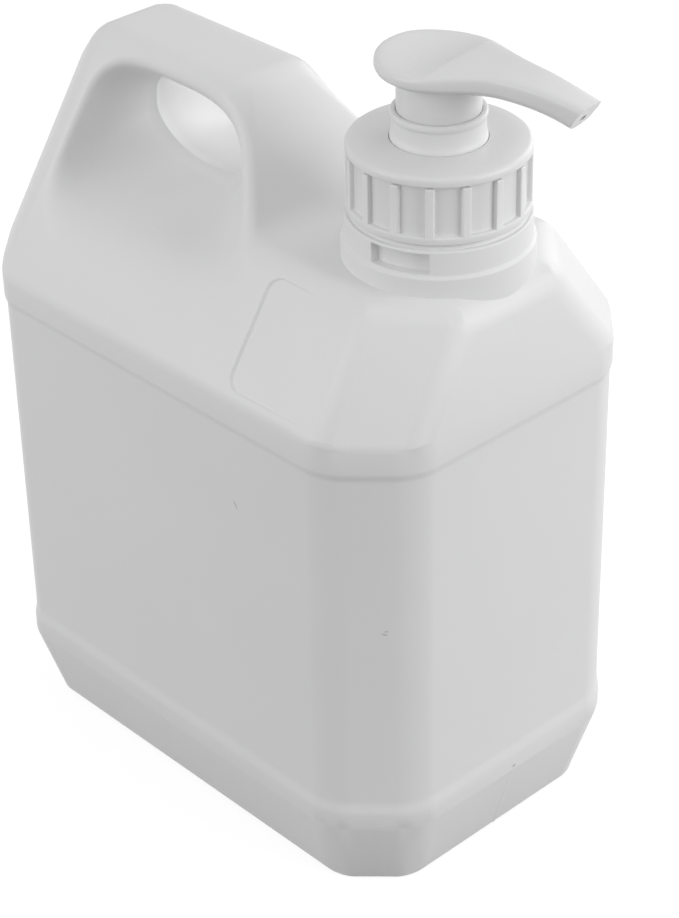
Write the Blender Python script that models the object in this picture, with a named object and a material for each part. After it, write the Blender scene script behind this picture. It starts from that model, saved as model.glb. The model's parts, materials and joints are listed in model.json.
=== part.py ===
"""Dispenser jug with an integral handle and a lotion pump, in metres, +Z up.

+X runs along the long side, from the handle to the pump. The jug is one blow moulded hollow piece, drawn
about the middle of its base. The pump's pieces share one upright axis, and each is drawn about that axis.
Two empties place them, so that the world's origin lies under the middle of the whole object.
"""
import math

import bmesh
import bpy
import numpy as np
from mathutils import Matrix, Vector
from mathutils.bvhtree import BVHTree

# Sizes of the jug's body
BODY_LENGTH = 0.158
BODY_WIDTH = 0.105
CORNER_CUT = 0.0173
BACK_CORNER_CUT = 0.0157
BASE_INSET = 0.0067
BEAD_BOTTOM_Z = 0.023
BEAD_HEIGHT = 0.0055
PANEL_DEPTH = 0.00085
PANEL_STEP = 0.0016
SHOULDER_Z = 0.142
PANEL_TOP_Z = 0.1345
WALL = 0.0015
FOOT_RING = 0.011
BASE_HOLLOW = 0.0014

# The jug's shoulders, handle and platform
GABLE_SLOPE = math.radians(56.0)
END_LEAN = math.radians(6.0)
FRONT_CORNER_LEAN = math.radians(29.7)
BACK_CORNER_LEAN = math.radians(25.5)
BACK_SHOULDER_CUT = 0.0140
HANDLE_TOP_Z = 0.2015
PLATFORM_Z = 0.172
END_CUT_SLOPE = math.radians(42.0)
LEG_SLOPE = math.radians(51.7)
LEG_TOP_X = -0.0093
LEG_FILLET = 0.010

# Rounded edges of the jug
CORNER_RADIUS = 0.010
SHOULDER_RADIUS = 0.005
RIDGE_RADIUS = 0.0075
TOP_RADIUS = 0.008
BASE_RADIUS = 0.0022
EDGE_STEPS = 3

# Finger hole through the handle, and how it opens out away from the parting plane
HOLE_LEFT_X = -0.0575
HOLE_RIGHT_X = -0.0180
HOLE_FLOOR_Z = 0.1670
HOLE_ROOF_Z = 0.1885
HOLE_ROUNDNESS = 3.2
HOLE_DRAFT = 0.06
ROOF_FLARE = 0.85
ROOF_FLARE_START = 0.0070
RIGHT_FLARE = 1.15
RIGHT_FLARE_START = 0.0062
FLOOR_FLARE = 0.06
FLOOR_FLARE_START = 0.010
RIM_SETBACK = 0.0042
FLOOR_SETBACK = 0.0120
HOLE_SIDES = 28

# Raised pad on both slopes, measured up the slope from its lower edge
PAD_DEPTH = 0.0006
PAD_DRAFT = 1.2
PAD_LEFT_X = 0.0270
PAD_RIGHT_X = 0.0560
PAD_START = 0.0030
PAD_LENGTH = 0.0300
PAD_CORNER = 0.0040

# Neck: its heights are over the platform
PUMP_X = 0.0503
NECK_FLANGE_RADIUS = 0.0235
NECK_FLANGE_HEIGHT = 0.0120
NECK_FOOT_RADIUS = 0.0248
NECK_RADIUS = 0.0186
NECK_WALL = 0.0023
NECK_HEIGHT = 0.0265
POCKET_DEPTH = 0.0012
POCKET_LOW = 0.0059
POCKET_HIGH = 0.0111
POCKET_MIDDLE = math.radians(-70.0)
POCKET_SPAN = math.radians(38.8)

# Clearance between pieces that touch or slide
GAP = 0.0003

# Gasket and screw collar
GASKET_THICKNESS = 0.0012
COLLAR_RADIUS = 0.0230
COLLAR_PANEL_RADIUS = 0.0219
COLLAR_CLEARANCE = 0.0013
COLLAR_ROOF = 0.0014
COLLAR_EDGE_DROP = 0.0006
COLLAR_BAND = 0.0020
COLLAR_RIM_BAND = 0.0025
COLLAR_WALL = 0.0016
COLLAR_RIBS = 16
RIB_WIDTH = 0.0023
FIRST_RIB = math.radians(-50.8)

# Guide ring, which holds the plunger in the cylinder
RING_RADIUS = 0.0119
RING_BORE = 0.0105
RING_RISE = 0.0088
RING_FLOOR = 0.0014
RING_SEAT = 0.0017

# Pump cylinder
FLANGE_THICKNESS = 0.0016
MOUTH_WALL = 0.0011
MOUTH_DEPTH = 0.0068
CHAMBER_RADIUS = 0.0073
CHAMBER_WALL = 0.0012
CHAMBER_LENGTH = 0.0375
BALL_POCKET_DEPTH = 0.0050
SOCKET_LENGTH = 0.0120
INLET_RADIUS = 0.0018

# Plunger
STROKE = 0.0070
ROD_RADIUS = 0.0036
ROD_BORE = 0.0018
PISTON_DROP = 0.0030
PISTON_HEIGHT = 0.0065
SEAT_FLANGE = 0.0014
SEAT_NOSE = 0.0040

# Return spring, inlet ball and dip tube
SPRING_WIRE = 0.00045
SPRING_RADIUS = 0.0056
SPRING_TURNS = 7
SPRING_STEPS = 11
FLAT_TURNS = 0.8
BALL_RADIUS = 0.0032
TUBE_RADIUS = 0.0030
TUBE_BORE = 0.0022
TUBE_END_Z = 0.0065

# Pump head: distance along the nozzle, half width, top and underside over the head's lowest level
SKIRT_RADIUS = 0.0102
SKIRT_WALL = 0.0014
SOCKET_RECESS = 0.0030
STOP_CLEARANCE = 0.0014
HEAD_CLEARANCE = 0.0020
NOZZLE_TURN = math.radians(6.0)
HEAD_RADIUS = 0.0156
HEAD_BACK = 0.0030
NOZZLE_BORE = 0.0014
CHANNEL_DROP = 0.0006
PLATE_UNDER = 0.0014
ROD_SINK = 0.0035
HEAD_SECTIONS = (
    (-0.0145, 0.0058, 0.0054, 0.0012),
    (-0.0115, 0.0105, 0.0052, 0.0005),
    (-0.0060, 0.0144, 0.0039, 0.0000),
    (0.0000, 0.0156, 0.0042, -0.0002),
    (0.0050, 0.0148, 0.0057, -0.0002),
    (0.0100, 0.0124, 0.0064, 0.0000),
    (0.0160, 0.0094, 0.0068, 0.0003),
    (0.0220, 0.0072, 0.0070, 0.0004),
    (0.0300, 0.0057, 0.0067, -0.0001),
    (0.0380, 0.0047, 0.0056, -0.0011),
    (0.0450, 0.0041, 0.0043, -0.0024),
)
TIP_SETBACK = 0.0038

HALF_LENGTH = BODY_LENGTH / 2
HALF_WIDTH = BODY_WIDTH / 2
AXIS = Vector((PUMP_X, 0.0, 0.0))
NOZZLE_END_X = PUMP_X + HEAD_SECTIONS[-1][0] * math.cos(NOZZLE_TURN)
MIDDLE_X = (NOZZLE_END_X - HALF_LENGTH) / 2
NECK_FLANGE_TOP_Z = PLATFORM_Z + NECK_FLANGE_HEIGHT
NECK_TOP_Z = PLATFORM_Z + NECK_HEIGHT
GASKET_Z = NECK_TOP_Z + GAP
FLANGE_Z = GASKET_Z + GASKET_THICKNESS + GAP
COLLAR_BOTTOM_Z = NECK_FLANGE_TOP_Z + COLLAR_CLEARANCE
COLLAR_CEILING_Z = FLANGE_Z + FLANGE_THICKNESS + GAP
COLLAR_TOP_Z = COLLAR_CEILING_Z + COLLAR_ROOF
COLLAR_EDGE_Z = COLLAR_TOP_Z - COLLAR_EDGE_DROP
RIB_TOP_Z = COLLAR_EDGE_Z - COLLAR_RIM_BAND
MOUTH_BOTTOM_Z = FLANGE_Z - MOUTH_DEPTH
CHAMBER_BOTTOM_Z = MOUTH_BOTTOM_Z - CHAMBER_LENGTH
RING_TOP_Z = COLLAR_CEILING_Z + RING_RISE
RING_FLOOR_Z = MOUTH_BOTTOM_Z + RING_SEAT
SKIRT_BOTTOM_Z = RING_FLOOR_Z + RING_FLOOR + STROKE + STOP_CLEARANCE
HEAD_Z = RING_TOP_Z + STROKE + HEAD_CLEARANCE
PLATE_UNDER_Z = HEAD_Z + PLATE_UNDER
ROD_TOP_Z = HEAD_Z - ROD_SINK
PISTON_TOP_Z = MOUTH_BOTTOM_Z - PISTON_DROP
PISTON_BOTTOM_Z = PISTON_TOP_Z - PISTON_HEIGHT
SEAT_Z = PISTON_BOTTOM_Z - GAP - SEAT_FLANGE
BALL_Z = CHAMBER_BOTTOM_Z - BALL_POCKET_DEPTH + BALL_RADIUS + GAP
TUBE_TOP_Z = CHAMBER_BOTTOM_Z - BALL_POCKET_DEPTH - 0.0018 - GAP


def clear_scene():
    for item in list(bpy.data.objects):
        bpy.data.objects.remove(item, do_unlink=True)


def plastic(name, color, roughness, metallic=0.0):
    material = bpy.data.materials.new(name)
    material.use_nodes = True
    shader = material.node_tree.nodes["Principled BSDF"]
    shader.inputs["Base Color"].default_value = (*color, 1.0)
    shader.inputs["Roughness"].default_value = roughness
    shader.inputs["Metallic"].default_value = metallic
    return material


def add_empty(name, place, parent=None):
    empty = bpy.data.objects.new(name, None)
    bpy.context.collection.objects.link(empty)
    empty.location = place
    empty.parent = parent
    return empty


def add_object(name, bm, material=None, parent=None):
    """Put a bmesh in the scene as an object with smooth round faces, under the empty that places it."""
    mesh = bpy.data.meshes.new(name)
    bm.to_mesh(mesh)
    bm.free()
    mesh.shade_smooth()
    mesh.set_sharp_from_angle(angle=math.radians(32))
    item = bpy.data.objects.new(name, mesh)
    bpy.context.collection.objects.link(item)
    item.parent = parent
    if material:
        mesh.materials.append(material)
    return item


def applied_bmesh(item):
    """Read an object with its modifiers applied, then remove the object."""
    depsgraph = bpy.context.evaluated_depsgraph_get()
    bm = bmesh.new()
    bm.from_object(item, depsgraph)
    bpy.data.objects.remove(item, do_unlink=True)
    return bm


def join_by_boolean(bm, other, operation):
    """Return the union or difference of two closed bmeshes."""
    body = add_object("body", bm)
    tool = add_object("tool", other)
    cut = body.modifiers.new("cut", "BOOLEAN")
    cut.operation = operation
    cut.solver = "EXACT"
    cut.object = tool
    result = applied_bmesh(body)
    bpy.data.objects.remove(tool, do_unlink=True)
    bmesh.ops.remove_doubles(result, verts=result.verts, dist=0.000002)
    bmesh.ops.dissolve_degenerate(result, edges=result.edges, dist=0.000002)
    return result


def turned(profile, steps=40):
    """Revolve a closed outline of (radius, height) points, listed anticlockwise, about the pump's axis."""
    bm = bmesh.new()
    points = [bm.verts.new((radius, 0.0, height)) for radius, height in profile]
    edges = [bm.edges.new((points[i], points[(i + 1) % len(points)])) for i in range(len(points))]
    bmesh.ops.spin(bm, geom=points + edges, cent=(0, 0, 0), axis=(0, 0, 1), angle=math.tau,
                   steps=steps, use_merge=True, use_duplicate=False)
    bmesh.ops.remove_doubles(bm, verts=bm.verts, dist=0.00001)
    bmesh.ops.recalc_face_normals(bm, faces=bm.faces)
    return bm


def at_neck(bm):
    """Move a piece drawn about the pump's axis to where the jug's neck is."""
    bmesh.ops.translate(bm, verts=bm.verts, vec=AXIS)
    return bm


def slice_off(bm, point, normal):
    """Cut away what lies outside a plane and close the cut with one face."""
    geometry = list(bm.verts) + list(bm.edges) + list(bm.faces)
    cut = bmesh.ops.bisect_plane(bm, geom=geometry, plane_co=point, plane_no=normal,
                                 clear_outer=True, dist=0.0000001)
    rim = [e for e in cut["geom_cut"] if isinstance(e, bmesh.types.BMEdge)]
    if len(rim) > 2:
        bmesh.ops.contextual_create(bm, geom=rim)
    bmesh.ops.recalc_face_normals(bm, faces=bm.faces)


def corner_directions():
    """The four ways out through the body's cut corners."""
    return [Vector((sx, sy, 0)).normalized() for sx in (-1, 1) for sy in (-1, 1)]


def side_planes():
    """A point and the outward way of each of the eight upright sides."""
    planes = [(Vector((s * HALF_LENGTH, 0, 0)), Vector((s, 0, 0))) for s in (-1, 1)]
    planes += [(Vector((0, s * HALF_WIDTH, 0)), Vector((0, s, 0))) for s in (-1, 1)]
    for way in corner_directions():
        cut = CORNER_CUT if way.x > 0 else BACK_CORNER_CUT
        corner = Vector((math.copysign(HALF_LENGTH, way.x), math.copysign(HALF_WIDTH - cut, way.y), 0))
        planes.append((corner, way))
    return planes


def meeting_point(planes):
    """Where three planes meet, each given as a point on it and its normal."""
    rows = np.array([list(normal) for point, normal in planes])
    reach = np.array([normal.dot(point) for point, normal in planes])
    return Vector(np.linalg.solve(rows, reach))


def jug_planes(inset):
    """Every flat face of the jug's form, set in by the inset: a point on it and its outward normal."""
    planes = []
    base_lean = math.atan2(BASE_INSET, BEAD_BOTTOM_Z)
    for point, way in side_planes():
        planes.append((point, way))
        low = way * math.cos(base_lean) - Vector((0, 0, math.sin(base_lean)))
        planes.append((point + Vector((0, 0, BEAD_BOTTOM_Z)), low))
    end = Vector((math.cos(END_LEAN), 0, math.sin(END_LEAN)))
    planes.append((Vector((HALF_LENGTH, 0, SHOULDER_Z)), end))
    for way in corner_directions():
        lean = FRONT_CORNER_LEAN if way.x > 0 else BACK_CORNER_LEAN
        cut = CORNER_CUT if way.x > 0 else BACK_SHOULDER_CUT
        corner = Vector((math.copysign(HALF_LENGTH, way.x), math.copysign(HALF_WIDTH - cut, way.y),
                         SHOULDER_Z))
        planes.append((corner, way * math.cos(lean) + Vector((0, 0, math.sin(lean)))))
    back_facet = planes[-3]
    for side in (-1, 1):
        gable = Vector((0, side * math.sin(GABLE_SLOPE), math.cos(GABLE_SLOPE)))
        planes.append((Vector((0, side * HALF_WIDTH, SHOULDER_Z)), gable))
    planes.append((Vector((0, 0, 0)), Vector((0, 0, -1))))
    planes.append((Vector((0, 0, HANDLE_TOP_Z)), Vector((0, 0, 1))))
    planes = [(point - normal * inset, normal) for point, normal in planes]
    back_facet = (back_facet[0] - back_facet[1] * inset, back_facet[1])
    crown = meeting_point([back_facet, planes[-3], planes[-1]])
    planes.append((crown, Vector((-math.sin(END_CUT_SLOPE), 0, math.cos(END_CUT_SLOPE)))))
    return planes


def arc_points(middle, radius, start, end, steps):
    return [(middle[0] + radius * math.cos(start + (end - start) * i / steps),
             middle[1] + radius * math.sin(start + (end - start) * i / steps)) for i in range(steps + 1)]


def prism_along_y(outline, half_depth):
    """Extrude an outline of (x, z) points from one side of the jug to the other."""
    bm = bmesh.new()
    points = [bm.verts.new((x, -half_depth, z)) for x, z in outline]
    face = bm.faces.new(points)
    extruded = bmesh.ops.extrude_face_region(bm, geom=[face])
    moved = [v for v in extruded["geom"] if isinstance(v, bmesh.types.BMVert)]
    bmesh.ops.translate(bm, verts=moved, vec=(0, 2 * half_depth, 0))
    bmesh.ops.recalc_face_normals(bm, faces=bm.faces)
    return bm


def notch(inset):
    """The space over the platform, bounded by the sloping front of the handle's leg."""
    floor = PLATFORM_Z - inset
    fillet = LEG_FILLET + inset
    slope_x = LEG_TOP_X - inset / math.sin(LEG_SLOPE)
    foot_x = slope_x + (HANDLE_TOP_Z - floor) / math.tan(LEG_SLOPE)
    reach = fillet * math.tan(LEG_SLOPE / 2)
    middle = (foot_x + reach, floor + fillet)
    turn = arc_points(middle, fillet, -math.pi / 2, -math.pi / 2 - LEG_SLOPE, 4)
    far = HALF_LENGTH + 0.03
    high = HANDLE_TOP_Z + 0.02
    top_x = slope_x - (high - HANDLE_TOP_Z) / math.tan(LEG_SLOPE)
    outline = [(far, floor), *turn, (top_x, high), (far, high)]
    return prism_along_y(outline, BODY_WIDTH)


def edge_radius(edge):
    """How much one edge of the jug's flat sided form is rounded."""
    first, second = (f.normal for f in edge.link_faces)
    bend = first.angle(second)
    middle = (edge.verts[0].co + edge.verts[1].co) / 2
    if bend < math.radians(14):
        return 0.0
    if middle.z < 0.0015 + WALL:
        return BASE_RADIUS
    upright = abs(first.z) < 0.02 and abs(second.z) < 0.02
    if upright or middle.z < BEAD_BOTTOM_Z - 0.001:
        return CORNER_RADIUS
    if middle.z < BEAD_BOTTOM_Z + 0.001:
        return BASE_RADIUS
    if middle.z < SHOULDER_Z + 0.002:
        return SHOULDER_RADIUS
    if middle.z > HANDLE_TOP_Z - 0.004:
        return TOP_RADIUS
    return RIDGE_RADIUS


def round_edges(bm, inset):
    """Round every real edge of the flat sided form by its own radius."""
    layer = bm.edges.layers.float.new("bevel_weight_edge")
    bm.normal_update()
    for edge in bm.edges:
        bend = edge.link_faces[0].normal.angle(edge.link_faces[1].normal)
        radius = edge_radius(edge)
        convex = edge.is_convex
        radius = max(radius - inset, 0.0008) if convex and radius else radius
        edge[layer] = radius * math.tan(bend / 2) / 0.02 if radius and convex else 0.0
    item = add_object("rounding", bm)
    bevel = item.modifiers.new("rounding", "BEVEL")
    bevel.limit_method = "WEIGHT"
    bevel.width = 0.02
    bevel.segments = EDGE_STEPS
    bevel.profile = 0.5
    bevel.miter_outer = "MITER_SHARP"
    bevel.use_clamp_overlap = True
    return applied_bmesh(item)


def press_panel(bm):
    """Set the side panels back a little between the lower and the upper bead."""
    low = BEAD_BOTTOM_Z + BEAD_HEIGHT
    levels = (low, low + PANEL_STEP, PANEL_TOP_Z - PANEL_STEP, PANEL_TOP_Z)
    for level in levels:
        geometry = list(bm.verts) + list(bm.edges) + list(bm.faces)
        bmesh.ops.bisect_plane(bm, geom=geometry, plane_co=(0, 0, level), plane_no=(0, 0, 1), dist=0.0000001)
    bm.normal_update()
    inner = [v for v in bm.verts if levels[1] - 0.0001 < v.co.z < levels[2] + 0.0001]
    moves = {}
    for vert in inner:
        way = Vector((vert.normal.x, vert.normal.y, 0)).normalized()
        moves[vert] = way * -PANEL_DEPTH
    for vert, move in moves.items():
        vert.co += move


def hollow_base(bm):
    """Press the middle of the base up, so the jug stands on a flat foot ring."""
    base = min(bm.faces, key=lambda f: f.calc_center_median().z)
    bmesh.ops.inset_region(bm, faces=[base], thickness=FOOT_RING, use_even_offset=True)
    bmesh.ops.inset_region(bm, faces=[base], thickness=0.004, depth=0.0, use_even_offset=True)
    bmesh.ops.translate(bm, verts=list(base.verts), vec=(0, 0, BASE_HOLLOW))


def flare(reach, start, slope):
    """How far a side of the hole has opened out at a distance from the parting plane."""
    return slope * (math.hypot(reach, start) - start)


def hole_point(i, reach, inset):
    """A point on one of the lines along the hole's wall, at a distance from the mould's parting plane."""
    left = HOLE_LEFT_X - HOLE_DRAFT * reach - inset
    right = HOLE_RIGHT_X + flare(reach, RIGHT_FLARE_START, RIGHT_FLARE) + inset
    roof = HOLE_ROOF_Z + flare(reach, ROOF_FLARE_START, ROOF_FLARE) + inset
    floor = HOLE_FLOOR_Z - flare(reach, FLOOR_FLARE_START, FLOOR_FLARE) - inset
    turn = math.tau * (i + 0.5) / HOLE_SIDES
    power = 2 / HOLE_ROUNDNESS
    dx = math.copysign(abs(math.cos(turn)) ** power, math.cos(turn))
    dz = math.copysign(abs(math.sin(turn)) ** power, math.sin(turn))
    return Vector(((left + right) / 2 + (right - left) / 2 * dx, reach,
                   (roof + floor) / 2 + (roof - floor) / 2 * dz))


def outside_by(tree, point):
    """How far a point lies outside a closed surface, negative inside it, and the surface's way out there."""
    hit, normal, _, reach = tree.find_nearest(point)
    return math.copysign(reach, (point - hit).dot(normal)), normal


def exit_reach(tree, i, inset):
    """The distance from the parting plane at which one line along the hole's wall leaves the jug's form."""
    low, high = 0.004, 0.004
    while outside_by(tree, hole_point(i, high, inset))[0] < 0:
        low = high
        high += 0.0015
    for _ in range(12):
        middle = (low + high) / 2
        if outside_by(tree, hole_point(i, middle, inset))[0] < 0:
            low = middle
        else:
            high = middle
    return high


def rim_setback(i, inset):
    """How far from its edge the wall starts to turn over: further along the floor than elsewhere."""
    lowness = max(0.0, -math.sin(math.tau * (i + 0.5) / HOLE_SIDES))
    return RIM_SETBACK + (FLOOR_SETBACK - RIM_SETBACK) * lowness ** 2 - 0.9 * inset


def finger_hole(body, inset):
    """The flared passage through the handle, whose mouth turns over into the body's own surface."""
    tree = BVHTree.FromBMesh(body)
    reaches = [exit_reach(tree, i, inset) for i in range(HOLE_SIDES)]
    rim = [hole_point(i, reaches[i], inset) for i in range(HOLE_SIDES)]
    half = [[] for _ in range(11)]
    for i in range(HOLE_SIDES):
        setback = rim_setback(i, inset)
        along = (rim[i] - hole_point(i, reaches[i] - 0.002, inset)).normalized()
        start = reaches[i] - setback * abs(along.y)
        way_out = outside_by(tree, rim[i])[1]
        rim_way = (rim[(i + 1) % HOLE_SIDES] - rim[i - 1]).normalized()
        away = way_out.cross(rim_way).normalized()
        landing, normal, _, _ = tree.find_nearest(rim[i] + away * setback)
        landing = landing + normal * 0.00012
        wall_end = hole_point(i, start, inset)
        for k, share in enumerate((0.0, 0.3, 0.6, 0.82)):
            half[k].append(hole_point(i, start * share, inset))
        for k, t in enumerate((0.0, 0.25, 0.5, 0.75, 1.0)):
            half[4 + k].append(wall_end * (1 - t) ** 2 + rim[i] * (2 * t * (1 - t)) + landing * t ** 2)
        lifted = landing + normal * 0.003
        half[9].append(lifted)
        half[10].append(Vector((lifted.x, BODY_WIDTH, lifted.z)))
    rows = [[Vector((p.x, -p.y, p.z)) for p in row] for row in reversed(half[1:])] + half
    bm = bmesh.new()
    rings = [[bm.verts.new(p) for p in row] for row in rows]
    loops = [[bm.edges.new((r[i], r[(i + 1) % len(r)])) for i in range(len(r))] for r in rings]
    for first, second in zip(loops, loops[1:]):
        bmesh.ops.bridge_loops(bm, edges=first + second)
    bm.faces.new(rings[0])
    bm.faces.new(rings[-1])
    bmesh.ops.recalc_face_normals(bm, faces=bm.faces)
    return bm


def slope_point(side, x, up, out):
    """A point on a slope: along the jug, up the slope from the shoulder and out from its face."""
    way_up = Vector((0, -side * math.cos(GABLE_SLOPE), math.sin(GABLE_SLOPE)))
    way_out = Vector((0, side * math.sin(GABLE_SLOPE), math.cos(GABLE_SLOPE)))
    return Vector((x, side * HALF_WIDTH, SHOULDER_Z)) + way_up * up + way_out * out


def pad(side, inset):
    """Cutter for the pad pressed into a slope: deepest at its left edge and running out to the right."""
    low, high = PAD_START, PAD_START + PAD_LENGTH
    end = PAD_RIGHT_X + 0.002
    middle_x = PAD_LEFT_X + PAD_CORNER
    upper = arc_points((middle_x, high - PAD_CORNER), PAD_CORNER, math.pi / 2, math.pi, 4)
    lower = arc_points((middle_x, low + PAD_CORNER), PAD_CORNER, math.pi, math.pi * 1.5, 4)
    floor, brim = [], []
    for x, up in [(end, low), (end, high), *upper, *lower]:
        sideways = min(0.0, x - middle_x)
        upwards = up - min(max(up, low + PAD_CORNER), high - PAD_CORNER)
        out = -PAD_DEPTH * (PAD_RIGHT_X - x) / (PAD_RIGHT_X - PAD_LEFT_X)
        growth = PAD_DRAFT * (0.001 - out) / PAD_CORNER
        floor.append(slope_point(side, x, up, out - inset))
        brim.append(slope_point(side, x + sideways * growth, up + upwards * growth, 0.001 - inset))
    bm = bmesh.new()
    rings = [[bm.verts.new(p) for p in row] for row in (floor, brim)]
    loops = [[bm.edges.new((r[i], r[(i + 1) % len(r)])) for i in range(len(r))] for r in rings]
    bmesh.ops.bridge_loops(bm, edges=loops[0] + loops[1])
    bm.faces.new(rings[0])
    bm.faces.new(rings[1])
    bmesh.ops.recalc_face_normals(bm, faces=bm.faces)
    return bm


def neck_outside():
    """Outline of the neck: foot fillet, wide flange band and the screw finish above it."""
    low = PLATFORM_Z - 0.006
    foot = PLATFORM_Z + 0.0023
    lip = PLATFORM_Z + 0.0052
    return [(0.010, low), (NECK_FOOT_RADIUS, low), (NECK_FOOT_RADIUS, PLATFORM_Z + 0.0008),
            (NECK_FOOT_RADIUS - 0.0003, PLATFORM_Z + 0.0016), (NECK_FLANGE_RADIUS + 0.0006, foot),
            (NECK_FLANGE_RADIUS + 0.0004, lip), (NECK_FLANGE_RADIUS, lip + 0.0004),
            (NECK_FLANGE_RADIUS - 0.0001, NECK_FLANGE_TOP_Z - 0.0005),
            (NECK_FLANGE_RADIUS - 0.0006, NECK_FLANGE_TOP_Z), (NECK_RADIUS + 0.0008, NECK_FLANGE_TOP_Z),
            (NECK_RADIUS, NECK_FLANGE_TOP_Z + 0.0008), (NECK_RADIUS, NECK_TOP_Z - 0.0006),
            (NECK_RADIUS - 0.0006, NECK_TOP_Z), (0.010, NECK_TOP_Z)]


def neck_inside():
    """Outline of the space inside the neck, which follows the flange band and opens at the top."""
    bore = NECK_RADIUS - NECK_WALL
    band = NECK_FLANGE_RADIUS - POCKET_DEPTH - WALL
    return [(0, PLATFORM_Z - 0.008), (band, PLATFORM_Z - 0.008), (band, NECK_FLANGE_TOP_Z - WALL - 0.002),
            (bore, NECK_FLANGE_TOP_Z + 0.001), (bore, NECK_TOP_Z + 0.004), (0, NECK_TOP_Z + 0.004)]


def disc(profile, steps=40):
    """Revolve an outline that starts and ends on the pump's axis."""
    bm = bmesh.new()
    points = [bm.verts.new((radius, 0.0, height)) for radius, height in profile]
    edges = [bm.edges.new(pair) for pair in zip(points, points[1:])]
    bmesh.ops.spin(bm, geom=points + edges, cent=(0, 0, 0), axis=(0, 0, 1), angle=math.tau,
                   steps=steps, use_merge=True, use_duplicate=False)
    bmesh.ops.remove_doubles(bm, verts=bm.verts, dist=0.00001)
    bmesh.ops.recalc_face_normals(bm, faces=bm.faces)
    return bm


def arc_block(inner, outer, low, high, middle_angle, span, steps=8):
    """A curved block between two radii and two heights, centred on an angle about the pump's axis."""
    bm = bmesh.new()
    start = middle_angle - span / 2
    corners = [(inner, low), (outer, low), (outer, high), (inner, high)]
    points = [bm.verts.new((r * math.cos(start), r * math.sin(start), z)) for r, z in corners]
    edges = [bm.edges.new((points[i], points[(i + 1) % 4])) for i in range(4)]
    bmesh.ops.spin(bm, geom=points + edges, cent=(0, 0, 0), axis=(0, 0, 1), angle=span, steps=steps,
                   use_duplicate=False)
    bmesh.ops.holes_fill(bm, edges=[e for e in bm.edges if e.is_boundary], sides=4)
    bmesh.ops.recalc_face_normals(bm, faces=bm.faces)
    return bm


def jug_form(inset):
    """The jug's whole outer form, or with an inset the form of the space inside its wall."""
    bm = bmesh.new()
    bmesh.ops.create_cube(bm, size=0.5)
    for point, normal in jug_planes(inset):
        slice_off(bm, point, normal)
    bmesh.ops.remove_doubles(bm, verts=bm.verts, dist=0.0005)
    bm = join_by_boolean(bm, notch(inset), "DIFFERENCE")
    bmesh.ops.dissolve_limit(bm, angle_limit=math.radians(1), verts=bm.verts, edges=bm.edges)
    bm = round_edges(bm, inset)
    press_panel(bm)
    hollow_base(bm)
    bm = join_by_boolean(bm, finger_hole(bm, inset), "DIFFERENCE")
    for side in (-1, 1):
        bm = join_by_boolean(bm, pad(side, inset), "DIFFERENCE")
    return bm


def make_jug(material, parent):
    """The jug: its outer form with the neck, less the space inside and the two grip pockets."""
    outside = join_by_boolean(jug_form(0.0), at_neck(turned(neck_outside(), 44)), "UNION")
    inside = join_by_boolean(jug_form(WALL), at_neck(disc(neck_inside(), 32)), "UNION")
    shell = join_by_boolean(outside, inside, "DIFFERENCE")
    for angle in (POCKET_MIDDLE, POCKET_MIDDLE + math.pi):
        pocket = arc_block(NECK_FLANGE_RADIUS - POCKET_DEPTH, NECK_FLANGE_RADIUS + 0.003,
                           PLATFORM_Z + POCKET_LOW, PLATFORM_Z + POCKET_HIGH, angle, POCKET_SPAN)
        shell = join_by_boolean(shell, at_neck(pocket), "DIFFERENCE")
    return add_object("jug", shell, material, parent)


def make_gasket(material, parent):
    outer = NECK_RADIUS - 0.0002
    inner = NECK_RADIUS - NECK_WALL + 0.0004
    top = GASKET_Z + GASKET_THICKNESS
    outline = [(inner, GASKET_Z), (outer, GASKET_Z), (outer, top), (inner, top)]
    return add_object("neck_gasket", turned(outline), material, parent)


def make_collar(material, parent):
    """Screw collar: a domed cap with a band of upright grip ribs and a hole for the guide ring."""
    hole = RING_RADIUS + GAP
    outer = COLLAR_PANEL_RADIUS
    inner = outer - COLLAR_WALL
    rim = COLLAR_RADIUS
    band = COLLAR_BOTTOM_Z + COLLAR_BAND
    outline = [(inner, COLLAR_BOTTOM_Z), (rim - 0.0004, COLLAR_BOTTOM_Z), (rim, COLLAR_BOTTOM_Z + 0.0004),
               (rim, band - 0.0003), (rim - 0.0003, band), (outer, band), (outer, RIB_TOP_Z),
               (rim - 0.0002, RIB_TOP_Z), (rim, RIB_TOP_Z + 0.0002), (rim - 0.00005, COLLAR_EDGE_Z - 0.0010),
               (rim - 0.0004, COLLAR_EDGE_Z - 0.0003), (rim - 0.0012, COLLAR_EDGE_Z + 0.0001),
               (0.0190, COLLAR_EDGE_Z + 0.0005), (0.0150, COLLAR_TOP_Z - 0.0001), (hole, COLLAR_TOP_Z),
               (hole, COLLAR_CEILING_Z), (inner, COLLAR_CEILING_Z)]
    bm = turned(outline, 64)
    for i in range(COLLAR_RIBS):
        angle = FIRST_RIB + math.tau * i / COLLAR_RIBS
        rib = arc_block(outer - 0.0006, rim - 0.0001, band - 0.0008, RIB_TOP_Z + 0.0008,
                        angle, RIB_WIDTH / rim, 2)
        bm = join_by_boolean(bm, rib, "UNION")
    return add_object("screw_collar", bm, material, parent)


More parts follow.
